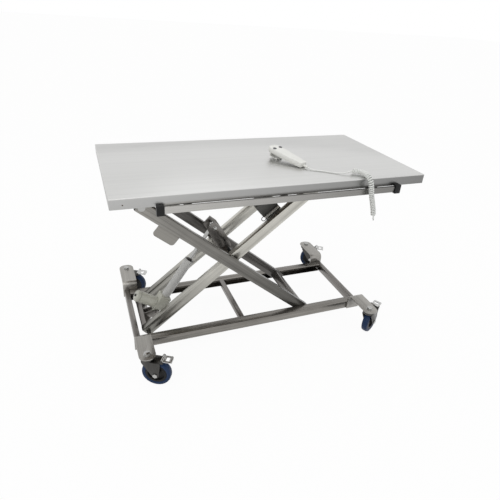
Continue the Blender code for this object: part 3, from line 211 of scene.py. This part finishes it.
class Nodes:
    """A material and its nodes. Sizes are in metres, in the object's own frame."""

    def __init__(self, name, metallic=0.0, **fixed):
        self.material = bpy.data.materials.new(name)
        self.material.use_nodes = True
        self.tree = self.material.node_tree
        self.shader = self.tree.nodes["Principled BSDF"]
        self.shader.inputs["Metallic"].default_value = metallic
        for socket, value in fixed.items():
            self.shader.inputs[socket.replace("_", " ")].default_value = value

    def add(self, kind, inputs=None, **settings):
        node = self.tree.nodes.new(kind)
        for key, value in settings.items():
            setattr(node, key, value)
        for key, value in (inputs or {}).items():
            if isinstance(value, bpy.types.NodeSocket):
                self.tree.links.new(value, node.inputs[key])
            else:
                node.inputs[key].default_value = value
        return node

    def feed(self, socket, output):
        self.tree.links.new(output, self.shader.inputs[socket])

    def place(self, size, turn=(0, 0, 0)):
        """Coordinates that count one for each size along the turned axes."""
        where = self.add("ShaderNodeTexCoord").outputs["Object"]
        inputs = {"Vector": where, "Rotation": turn, "Scale": size}
        return self.add("ShaderNodeMapping", inputs, vector_type="TEXTURE").outputs[0]

    def noise(self, size, turn=(0, 0, 0), detail=3.0, rough=0.55):
        if not isinstance(size, tuple):
            size = (size, size, size)
        inputs = {"Vector": self.place(size, turn), "Scale": 1.0, "Detail": detail, "Roughness": rough}
        return self.add("ShaderNodeTexNoise", inputs).outputs["Fac"]

    def math(self, operation, a, b=0.0):
        return self.add("ShaderNodeMath", {0: a, 1: b}, operation=operation).outputs[0]

    def blend(self, share, a, b):
        """A number that goes from a to b by the share."""
        return self.add("ShaderNodeMix", {0: share, 2: a, 3: b}, data_type="FLOAT").outputs[0]

    def ramp(self, factor, *stops):
        node = self.add("ShaderNodeValToRGB", {"Fac": factor})
        elements = node.color_ramp.elements
        while len(elements) < len(stops):
            elements.new(0.5)
        for element, (at, colour) in zip(elements, stops):
            element.position = at
            element.color = (*colour, 1.0) if hasattr(colour, "__len__") else (colour, colour, colour, 1.0)
        return node.outputs["Color"]

    def bump(self, height, distance, strength=1.0):
        inputs = {"Height": height, "Distance": distance, "Strength": strength}
        self.feed("Normal", self.add("ShaderNodeBump", inputs).outputs["Normal"])


def scaled(colour, factor):
    return tuple(min(1.0, c * factor) for c in colour)


def steel(
    name, colour, turn=(0, 0, 0), roughness=(0.24, 0.40), contrast=0.16, streak=(0.40, 0.0022),
    painted_shade=None, top=None,
):
    """Brushed stainless steel: streaks along the turned X and cloudy handling marks.

    Its tone may fade along X with painted shade, darker where shade and dark reflections fall, and where a
    top height is given, only below that height.
    """
    n = Nodes(name, metallic=1.0)
    long, wide = streak
    fine = n.noise((long, wide, wide), turn, detail=5.0, rough=0.62)
    broad = n.noise((3 * long, 9 * wide, 9 * wide), turn, detail=2.0)
    marks = n.noise(0.16, detail=5.0, rough=0.6)
    grain = n.blend(0.45, fine, broad)
    tone = n.blend(0.20, grain, marks)
    brushed = n.ramp(
        tone,
        (0.39, scaled(colour, 1 - contrast)),
        (0.50, colour),
        (0.61, scaled(colour, 1 + contrast)),
    )
    # Painted shade: the colour is darkened step by step along the turned X.
    if painted_shade:
        start, end, first, last = painted_shade
        along = n.add("ShaderNodeSeparateXYZ", {"Vector": n.place((1, 1, 1), turn)}).outputs["X"]
        share = n.add("ShaderNodeMapRange", {"Value": along, "From Min": start, "From Max": end}).outputs[0]
        tone = n.blend(share, first, last)
        if top:
            height = n.add("ShaderNodeSeparateXYZ", {"Vector": n.place((1, 1, 1))}).outputs["Z"]
            tone = n.blend(n.math("GREATER_THAN", height, top), tone, 1.0)
        brushed = n.add(
            "ShaderNodeMix", {0: tone, 6: (0.0, 0.0, 0.0, 1.0), 7: brushed}, data_type="RGBA",
        ).outputs[2]
    n.feed("Base Color", brushed)
    low, high = roughness
    wear = n.ramp(n.blend(0.5, fine, marks), (0.35, low), (0.65, high))
    n.feed("Roughness", wear)
    n.bump(fine, 0.00006, 0.35)
    return n.material


def plastic(name, colour, roughness, mottle=0.06, grain=0.0009, depth=0.00005, **fixed):
    """Moulded plastic: an even colour with a slight mottle, fine moulded grain and rubbed patches."""
    n = Nodes(name, **fixed)
    cloud = n.noise(0.03, detail=4.0)
    n.feed("Base Color", n.ramp(cloud, (0.3, scaled(colour, 1 - mottle)), (0.7, scaled(colour, 1 + mottle))))
    rub = n.noise(0.05, detail=5.0, rough=0.65)
    n.feed("Roughness", n.ramp(rub, (0.35, roughness - 0.06), (0.68, roughness + 0.08)))
    n.bump(n.noise(grain, detail=2.0), depth, 0.5)
    return n.material


def rubber(name, colour):
    """Soft polyurethane tread with scuffs and a little dust."""
    n = Nodes(name, Specular_IOR_Level=0.2)
    scuff = n.noise(0.012, detail=6.0, rough=0.7)
    dust = n.noise(0.05, detail=4.0)
    tone = n.blend(0.5, scuff, dust)
    n.feed("Base Color", n.ramp(
        tone, (0.30, scaled(colour, 0.7)), (0.55, colour), (0.78, tuple(0.75 * c + 0.03 for c in colour)),
    ))
    n.feed("Roughness", n.ramp(scuff, (0.3, 0.34), (0.7, 0.55)))
    n.bump(scuff, 0.00015, 0.4)
    return n.material


def painted(name, colour):
    """Powder coat on an aluminium housing: a faint orange peel and light rubbing."""
    n = Nodes(name, Coat_Weight=0.15, Coat_Roughness=0.25)
    cloud = n.noise(0.045, detail=5.0)
    n.feed("Base Color", n.ramp(cloud, (0.3, scaled(colour, 0.92)), (0.7, scaled(colour, 1.07))))
    n.feed("Roughness", n.ramp(n.noise(0.02, detail=4.0), (0.35, 0.36), (0.65, 0.50)))
    n.bump(n.noise(0.0016, detail=1.0), 0.00008, 0.5)
    return n.material


def board_wood(name):
    """The sealed face of a film-faced ply board."""
    n = Nodes(name)
    fibre = n.noise((0.25, 0.006, 0.006), detail=5.0, rough=0.65)
    stops = ((0.3, (0.16, 0.11, 0.07)), (0.55, (0.25, 0.18, 0.11)), (0.75, (0.33, 0.25, 0.16)))
    n.feed("Base Color", n.ramp(fibre, *stops))
    n.feed("Roughness", n.ramp(fibre, (0.3, 0.5), (0.7, 0.68)))
    n.bump(fibre, 0.0002, 0.5)
    return n.material


ALONG_Y = (0, 0, QUARTER)
UP_RIGHT = (0, -LIFT_ANGLE, 0)
DOWN_RIGHT = (0, LIFT_ANGLE, 0)

# The tray's skirt carries painted shade: below the top it darkens towards the right end in place of darker
# reflections, and the top keeps its own tone.
TRAY_STEEL_PAINTED_SHADE = steel(
    "tray_steel_painted_shade", (0.61, 0.61, 0.60), roughness=(0.30, 0.38), contrast=0.035, streak=(0.5, 0.0018),
    painted_shade=(-0.65, 0.65, 0.78, 0.36), top=TRAY_TOP - 0.003,
)
# The frame's rails, channels and tubes get the same stainless steel painted much darker: painted shade and
# dark reflections.
STEEL_X_PAINTED_SHADE = steel("steel_along_x_painted_shade", (0.20, 0.19, 0.175), contrast=0.42)
STEEL_Y_PAINTED_SHADE = steel("steel_along_y_painted_shade", (0.20, 0.19, 0.18), ALONG_Y, contrast=0.30)
# The inner arms carry painted shade: their steel darkens towards their lower ends.
STEEL_UP_PAINTED_SHADE = steel(
    "steel_inner_arms_painted_shade", (0.50, 0.49, 0.45), UP_RIGHT, contrast=0.30, painted_shade=(0.10, -0.35, 1.0, 0.42),
)
# The near outer arm: a darker copy of the steel with painted shade, light at its upper end and dark at its
# lower end.
STEEL_DOWN_PAINTED_SHADE = steel(
    "steel_outer_arms_painted_shade", (0.30, 0.29, 0.27), DOWN_RIGHT, contrast=0.32, painted_shade=(-0.86, 0.14, 0.95, 0.30),
)
# The far outer arm: the same steel painted much darker, a painted shade for its place in the table's shadow.
STEEL_FAR_PAINTED_SHADE = steel("steel_far_outer_arm_painted_shade", (0.11, 0.105, 0.10), DOWN_RIGHT, contrast=0.20)
PLATE_STEEL = steel("plate_steel", (0.27, 0.26, 0.24), DOWN_RIGHT, (0.30, 0.45))
BRACKET_STEEL = steel("bracket_steel", (0.33, 0.32, 0.30), ALONG_Y, (0.28, 0.42), contrast=0.20)
# The forks: dark steel, darkened further as painted shade.
FORK_STEEL_DARK_AND_PAINTED_SHADE = steel("fork_steel_dark_and_painted_shade", (0.075, 0.073, 0.070), (0, QUARTER, 0), (0.24, 0.40), streak=(0.05, 0.002))
PEDAL_STEEL = steel("pedal_steel", (0.52, 0.52, 0.51), ALONG_Y, (0.20, 0.34), 0.08, (0.05, 0.002))
# The accessory rail carries painted shade: its steel darkens towards the right end.
RAIL_STEEL_PAINTED_SHADE = steel(
    "rail_steel_painted_shade", (0.50, 0.49, 0.47), roughness=(0.22, 0.34), contrast=0.10, painted_shade=(-0.5, 0.5, 1.0, 0.42),
)
RIB_STEEL = steel("rib_steel", (0.50, 0.50, 0.49), ALONG_Y, (0.24, 0.36), 0.08, (0.05, 0.002))
CHROME = steel("bright_steel", (0.42, 0.42, 0.41), ALONG_Y, (0.12, 0.22), 0.06, (0.05, 0.002))
ACTUATOR_PAINT = painted("actuator_paint", (0.38, 0.38, 0.33))
TUBE_PAINT = painted("actuator_tube_paint", (0.44, 0.44, 0.43))
BOX_PLASTIC = plastic("box_plastic", (0.10, 0.10, 0.095), 0.48)
BLACK_PLASTIC = plastic("black_plastic", (0.008, 0.008, 0.008), 0.38, Specular_IOR_Level=0.25)
ROLLER_PLASTIC = plastic("roller_plastic", (0.03, 0.03, 0.03), 0.5)
HUB_PLASTIC = plastic("hub_plastic", (0.006, 0.006, 0.0065), 0.42, Specular_IOR_Level=0.2)
HANDSET_PLASTIC = plastic("handset_plastic", (0.64, 0.64, 0.61), 0.36, mottle=0.03)
KEY_PLASTIC = plastic("key_plastic", (0.05, 0.05, 0.055), 0.5)
CORD_PLASTIC = plastic("cord_plastic", (0.66, 0.67, 0.65), 0.40, mottle=0.04)
TYRE_RUBBER = rubber("tyre_rubber", (0.008, 0.026, 0.075))
BOARD = board_wood("core_board")


def edge_group(name, limit):
    """A node group that merges a mesh's split corners, and one that shades it smooth but for its edges."""
    made = bpy.data.node_groups.new(name, "GeometryNodeTree")
    made.interface.new_socket("Geometry", in_out="INPUT", socket_type="NodeSocketGeometry")
    made.interface.new_socket("Geometry", in_out="OUTPUT", socket_type="NodeSocketGeometry")
    start = made.nodes.new("NodeGroupInput")
    end = made.nodes.new("NodeGroupOutput")
    if limit is None:
        clear = made.nodes.new("GeometryNodeRemoveAttribute")
        clear.inputs["Name"].default_value = "custom_normal"
        merge = made.nodes.new("GeometryNodeMergeByDistance")
        merge.inputs["Distance"].default_value = 0.00001
        steps = [clear, merge]
    else:
        faces = made.nodes.new("GeometryNodeSetShadeSmooth")
        edges = made.nodes.new("GeometryNodeSetShadeSmooth")
        edges.domain = "EDGE"
        edges.inputs["Shade Smooth"].default_value = False
        angle = made.nodes.new("GeometryNodeInputMeshEdgeAngle")
        sharp = made.nodes.new("FunctionNodeCompare")
        sharp.operation = "GREATER_THAN"
        sharp.inputs[1].default_value = limit
        made.links.new(angle.outputs["Unsigned Angle"], sharp.inputs[0])
        made.links.new(sharp.outputs["Result"], edges.inputs["Selection"])
        steps = [faces, edges]
    for a, b in zip([start, *steps], [*steps, end]):
        made.links.new(a.outputs[0], b.inputs[0])
    return made


CLEAN_MESH = edge_group("clean_mesh", None)
SMOOTH_MESH = edge_group("smooth_mesh", math.radians(38))


def soften(piece, width, segments=2):
    """Merged corners, flat faces made whole, rounded edges and smooth shading, all as modifiers."""
    clean = piece.modifiers.new("clean", "NODES")
    clean.node_group = CLEAN_MESH
    whole = piece.modifiers.new("whole_faces", "DECIMATE")
    whole.decimate_type = "DISSOLVE"
    whole.angle_limit = math.radians(0.5)
    if width:
        bevel = piece.modifiers.new("edges", "BEVEL")
        bevel.width = width
        bevel.segments = segments
        bevel.limit_method = "ANGLE"
        bevel.angle_limit = math.radians(38)
    smooth = piece.modifiers.new("smooth", "NODES")
    smooth.node_group = SMOOTH_MESH


def dress(names, material, width=0.0006):
    """Gives CAD nodes their material and rounded edges."""
    for name in names:
        piece = frame["nodes"][name]
        if not piece.material_slots:
            piece.data.materials.append(None)
        piece.material_slots[0].link = "OBJECT"
        piece.material_slots[0].material = material
        soften(piece, width)


def each(pattern, words):
    return [pattern.format(word) for word in words]


def dress_frame():
    dress(["tray"], TRAY_STEEL_PAINTED_SHADE, 0)
    dress(each("base_rail_{}", SIDES) + each("top_channel_{}", SIDES), STEEL_X_PAINTED_SHADE)
    dress(["base_end_rail_left", "base_end_rail_right", "base_cross_tube", "inner_lower_tube"], STEEL_Y_PAINTED_SHADE)
    dress(["outer_lower_tube", "bearer_middle", "bearer_right", "bearer_pivot", "centre_tube"], STEEL_Y_PAINTED_SHADE)
    dress(each("inner_arm_{}", SIDES), STEEL_UP_PAINTED_SHADE)
    dress(["outer_arm_front"], STEEL_DOWN_PAINTED_SHADE)
    dress(["outer_arm_back"], STEEL_FAR_PAINTED_SHADE)
    dress(["bare_plate"], PLATE_STEEL)
    dress(["accessory_rail"], RAIL_STEEL_PAINTED_SHADE, 0.0008)
    dress(["base_pivot_shaft", "top_pivot_shaft", "actuator_rod"], CHROME)
    dress(each("castor_bracket_{}", CORNERS), BRACKET_STEEL)
    dress(each("castor_fork_{}", CORNERS), FORK_STEEL_DARK_AND_PAINTED_SHADE)
    dress(each("brake_pedal_{}", CORNERS), PEDAL_STEEL)
    dress(each("castor_tyre_{}", CORNERS), TYRE_RUBBER, 0)
    dress(each("castor_hub_{}", CORNERS), HUB_PLASTIC)
    dress(each("upper_roller_{}", SIDES) + each("lower_roller_{}", SIDES), ROLLER_PLASTIC, 0.001)
    dress(["rail_cap_left", "rail_cap_right", "cord_socket"], BLACK_PLASTIC)
    dress(["control_box"], BOX_PLASTIC)
    dress(["actuator_housing"], ACTUATOR_PAINT)
    dress(["actuator_tube"], TUBE_PAINT)
    dress(["core_board"], BOARD, 0.001)
    dress(["handset"], HANDSET_PLASTIC, 0)
    dress(["handset_button_up", "handset_button_down"], KEY_PLASTIC, 0.0004)


def smooth_route(route, step):
    """Points about a step apart along a smooth curve through the route's own points."""
    knots = [Vector(p) + ROUTE_SHIFT for p in route]
    knots = [2 * knots[0] - knots[1], *knots, 2 * knots[-1] - knots[-2]]
    points = []
    for a, b, c, d in zip(knots, knots[1:], knots[2:], knots[3:]):
        count = max(1, round((c - b).length / step))
        for i in range(count):
            t = i / count
            square = (2 * a - 5 * b + 4 * c - d) * t**2
            cube = (3 * b - a - 3 * c + d) * t**3
            points.append((2 * b + (c - a) * t + square + cube) / 2)
    return [*points, knots[-2]]


def even_route(route, count):
    """A number of points evenly apart along the route's smooth curve."""
    fine = smooth_route(route, WIRE_RADIUS / 2)
    lengths = [0.0]
    for a, b in zip(fine, fine[1:]):
        lengths.append(lengths[-1] + (b - a).length)
    points = []
    at = 0
    for i in range(count):
        want = lengths[-1] * i / (count - 1)
        while at < len(fine) - 2 and lengths[at + 1] < want:
            at += 1
        share = (want - lengths[at]) / (lengths[at + 1] - lengths[at])
        points.append(fine[at].lerp(fine[at + 1], share))
    return points, lengths[-1]


def curly_points():
    """The helix along the curly stretch; both ends lie straight on the route for one wire diameter."""
    length = even_route(CURL_ROUTE, 2)[1]
    curls = round(length / CURL_PITCH)
    total = curls * CURL_POINTS + 1
    centres = even_route(CURL_ROUTE, total)[0]
    side = Vector((0, 0, 1))
    straight = math.ceil(2 * WIRE_RADIUS / length * (total - 1))
    points = []
    for i, centre in enumerate(centres):
        ahead = centres[min(i + 1, total - 1)] - centres[max(i - 1, 0)]
        ahead.normalize()
        side = (side - side.dot(ahead) * ahead).normalized()
        across = ahead.cross(side)
        from_end = min(i, total - 1 - i) - straight
        swell = min(max(from_end / CURL_POINTS, 0), 1)
        radius = CURL_RADIUS * swell * swell * (3 - 2 * swell)
        angle = 2 * math.pi * i / CURL_POINTS
        points.append(centre + radius * (math.cos(angle) * side + math.sin(angle) * across))
    return points


def wire(name, points, radius, material, body, resolution=4):
    """A round wire along points, as a curve."""
    curve = bpy.data.curves.new(name, "CURVE")
    curve.dimensions = "3D"
    curve.bevel_depth = radius
    curve.bevel_resolution = resolution
    curve.use_fill_caps = True
    spline = curve.splines.new("POLY")
    spline.points.add(len(points) - 1)
    for target, point in zip(spline.points, points):
        target.co = (*point, 1)
    spline.use_smooth = True
    curve.materials.append(material)
    piece = bpy.data.objects.new(name, curve)
    bpy.context.scene.collection.objects.link(piece)
    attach(piece, body)
    return piece


def make_cords():
    """The handset's cord: a straight lead, the curly stretch over the edge and the tail up to its socket."""
    lead = smooth_route(LEAD_ROUTE, CORD_STEP)
    curl = curly_points()
    tail = smooth_route(TAIL_ROUTE, CORD_STEP)
    for points in (lead, tail):
        points[0] += (points[1] - points[0]).normalized() * CORD_GAP
        points[-1] += (points[-2] - points[-1]).normalized() * CORD_GAP
    for part, points, far_end, lay in (
        ("lead", lead, "object", "loose"),
        ("curl", curl, "object", "hanging"),
        ("tail", tail, "object", "hanging"),
    ):
        piece = wire(f"handset_cord_{part}", points, WIRE_RADIUS, CORD_PLASTIC, "top")
        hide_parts(f"cord_{part}")


def seen_share(nodes, links):
    """One for rays from the camera, a reflection or a clear body, and zero for the light on matt faces."""
    path = nodes.new("ShaderNodeLightPath")
    share = path.outputs["Is Camera Ray"]
    for ray in ("Is Glossy Ray", "Is Transmission Ray"):
        total = nodes.new("ShaderNodeMath")
        total.use_clamp = True
        links.new(share, total.inputs[0])
        links.new(path.outputs[ray], total.inputs[1])
        share = total.outputs[0]
    return share


def add_piece(name, bm, matrix, material, body, width=0.0004):
    """A small visual piece, rounded and given its material, that rides on a body."""
    mesh = bpy.data.meshes.new(name)
    bm.to_mesh(mesh)
    bm.free()
    mesh.materials.append(material)
    piece = bpy.data.objects.new(name, mesh)
    bpy.context.scene.collection.objects.link(piece)
    piece.matrix_world = matrix
    soften(piece, width)
    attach(piece, body)
    return piece


def block(name, low, high, matrix, material, body, width=0.0008):
    """A rounded block between two corners of the given frame."""
    low, high = Vector(low), Vector(high)
    bm = bmesh.new()
    bmesh.ops.create_cube(bm, size=1)
    bmesh.ops.scale(bm, vec=high - low, verts=bm.verts)
    bmesh.ops.translate(bm, vec=(low + high) / 2, verts=bm.verts)
    return add_piece(name, bm, matrix, material, body, width)


def disc(name, radius, start, end, matrix, material, body, sides=24, width=0.0004):
    """A round or hexagonal piece along the given frame's Z."""
    bm = bmesh.new()
    turn = Matrix.Translation((0, 0, (start + end) / 2))
    bmesh.ops.create_cone(
        bm, cap_ends=True, segments=sides, radius1=radius, radius2=radius,
        depth=abs(end - start), matrix=turn,
    )
    return add_piece(name, bm, matrix, material, body, width)


def castor_fasteners():
    """Each castor's washer and bolt head on its bracket, and the nuts on its axle."""
    for corner in CORNERS:
        swivel = Vector(JOINTS[f"swivel_{corner}"]["pos_m"])
        stem = Matrix.Translation((swivel.x, swivel.y, BRACKET_TOP))
        disc(f"stem_washer_{corner}", WASHER_RADIUS, 0, WASHER_THICK, stem, CHROME, "base")
        bolt = f"stem_bolt_{corner}"
        disc(bolt, STEM_BOLT_RADIUS, WASHER_THICK, STEM_BOLT_TOP, stem, CHROME, "base", HEX_SIDES, 0.0008)
        wheel = JOINTS[f"wheel_{corner}_spin"]
        turn = Vector(wheel["axis"]).to_track_quat("Z", "Y").to_matrix().to_4x4()
        axle = Matrix.Translation(wheel["pos_m"]) @ turn
        for word, side in (("near", -1), ("far", 1)):
            nut = f"axle_nut_{word}_{corner}"
            start, end = side * AXLE_NUT_START, side * AXLE_NUT_END
            disc(nut, AXLE_NUT_RADIUS, start, end, axle, CHROME, f"fork_{corner}", HEX_SIDES, 0.0006)


def motor_details():
    """The motor's flange, seam, cable outlet and end screws."""
    motor = TUBE_FRAME @ Matrix.Translation((MOTOR_X, 0, 0))
    body = "actuator_body"
    disc("motor_flange", FLANGE_RADIUS, FLANGE_START, FLANGE_END, motor, ACTUATOR_PAINT, body, MOTOR_SIDES)
    disc("motor_seam", SEAM_RADIUS, SEAM_START, SEAM_END, motor, BLACK_PLASTIC, body, MOTOR_SIDES, 0)
    disc("motor_outlet", OUTLET_RADIUS, OUTLET_START, OUTLET_END, motor, BLACK_PLASTIC, body, 20)
    for i in range(SCREWS):
        angle = 2 * math.pi * (i + 0.5) / SCREWS
        around = (SCREW_CIRCLE * math.cos(angle), SCREW_CIRCLE * math.sin(angle), 0)
        place = motor @ Matrix.Translation(around)
        disc(f"motor_screw_{i}", SCREW_RADIUS, SCREW_START, SCREW_END, place, CHROME, body, 12)


def yoke_details():
    """The washer and bolt head on the yoke's front plate, and the black block at the centre tube."""
    bolt = Matrix.Translation(HEAD_PLACE) @ Matrix.Rotation(QUARTER, 4, "X")
    body = "outer_arms"
    disc("yoke_washer", YOKE_WASHER_RADIUS, YOKE_FACE, YOKE_WASHER_END, bolt, CHROME, body)
    disc("yoke_bolt", YOKE_BOLT_RADIUS, YOKE_WASHER_END, YOKE_BOLT_END, bolt, CHROME, body, HEX_SIDES, 0.0006)
    block("centre_bush", *BUSH_CORNERS, OUTER_FRAME, BLACK_PLASTIC, body, BLOCK_ROUNDING)


def box_details():
    """The light strip and ribs on the control box's carrier plate, and the wire eye at its corner."""
    block("box_strip", *STRIP_CORNERS, INNER_FRAME, HANDSET_PLASTIC, "inner_arms", BLOCK_ROUNDING)
    for i in range(RIBS):
        x = RIB_START + RIB_PITCH * i
        low, high = (x, RIB_FRONT, RIB_BOTTOM), (x + RIB_WIDTH, RIB_BACK, RIB_TOP)
        block(f"box_rib_{i}", low, high, INNER_FRAME, RIB_STEEL, "inner_arms")
    loop = []
    for i in range(EYE_POINTS):
        angle = EYE_STEP * (i + 2)
        around = Vector((math.cos(angle), 0, math.sin(angle)))
        loop.append(INNER_FRAME @ (EYE_PLACE + EYE_RADIUS * around))
    wire("box_wire_eye", loop, EYE_WIRE_RADIUS, BLACK_PLASTIC, "inner_arms")


def make_floor():
    """A plain pale floor: the camera sees it near white, with the object's shadow kept."""
    bm = bmesh.new()
    bmesh.ops.create_grid(bm, x_segments=1, y_segments=1, size=FLOOR_SIZE)
    mesh = bpy.data.meshes.new("floor")
    bm.to_mesh(mesh)
    bm.free()
    floor = bpy.data.objects.new("floor", mesh)
    floor.location.z = -FLOOR_DROP
    bpy.context.scene.collection.objects.link(floor)
    material = bpy.data.materials.new("floor")
    material.use_nodes = True
    nodes, links = material.node_tree.nodes, material.node_tree.links
    nodes.clear()
    share = nodes.new("ShaderNodeMath")
    share.operation = "MULTIPLY"
    share.inputs[1].default_value = FLOOR_WHITE_SHARE
    pale = nodes.new("ShaderNodeBsdfDiffuse")
    pale.inputs["Color"].default_value = (0.72, 0.72, 0.71, 1)
    white = nodes.new("ShaderNodeEmission")
    mix = nodes.new("ShaderNodeMixShader")
    out = nodes.new("ShaderNodeOutputMaterial")
    links.new(seen_share(nodes, links), share.inputs[0])
    links.new(share.outputs[0], mix.inputs["Fac"])
    links.new(pale.outputs[0], mix.inputs[1])
    links.new(white.outputs[0], mix.inputs[2])
    links.new(mix.outputs[0], out.inputs["Surface"])
    mesh.materials.append(material)


def make_world():
    """A soft studio: white behind the object, bright above and dimmer towards the horizon."""
    world = bpy.data.worlds.new("studio")
    bpy.context.scene.world = world
    world.use_nodes = True
    nodes, links = world.node_tree.nodes, world.node_tree.links
    nodes.clear()
    where = nodes.new("ShaderNodeTexCoord")
    split = nodes.new("ShaderNodeSeparateXYZ")
    ramp = nodes.new("ShaderNodeValToRGB")
    while len(ramp.color_ramp.elements) < len(SKY_TONES):
        ramp.color_ramp.elements.new(0.5)
    for element, (height, tone) in zip(ramp.color_ramp.elements, SKY_TONES):
        element.position = height
        element.color = (tone, tone, tone, 1)
    studio = nodes.new("ShaderNodeBackground")
    white = nodes.new("ShaderNodeBackground")
    white.inputs["Color"].default_value = (1, 1, 1, 1)
    mix = nodes.new("ShaderNodeMixShader")
    out = nodes.new("ShaderNodeOutputWorld")
    links.new(where.outputs["Generated"], split.inputs[0])
    links.new(split.outputs["Z"], ramp.inputs[0])
    links.new(ramp.outputs[0], studio.inputs["Color"])
    links.new(seen_share(nodes, links), mix.inputs["Fac"])
    links.new(studio.outputs[0], mix.inputs[1])
    links.new(white.outputs[0], mix.inputs[2])
    links.new(mix.outputs[0], out.inputs["Surface"])


def lamp(name, place, target, size, power, colour=(1, 1, 1)):
    data = bpy.data.lights.new(name, "AREA")
    data.shape = "SQUARE"
    data.size = size
    data.energy = power
    data.color = colour
    made = bpy.data.objects.new(name, data)
    bpy.context.scene.collection.objects.link(made)
    made.location = place
    made.rotation_mode = "QUATERNION"
    made.rotation_quaternion = (Vector(target) - Vector(place)).to_track_quat("-Z", "Y")


def make_light():
    make_world()
    lamp("key", (-1.6, -2.0, 2.6), (0, 0, 0.5), 3.0, 24, (1.0, 0.99, 0.97))
    lamp("top", (0.3, 0.4, 3.2), (0, 0, 0.5), 3.2, 10, (0.97, 0.98, 1.0))


make_camera()
make_cords()
dress_frame()
castor_fasteners()
motor_details()
yoke_details()
box_details()
make_floor()
make_light()
bpy.context.scene.view_settings.view_transform = "Standard"
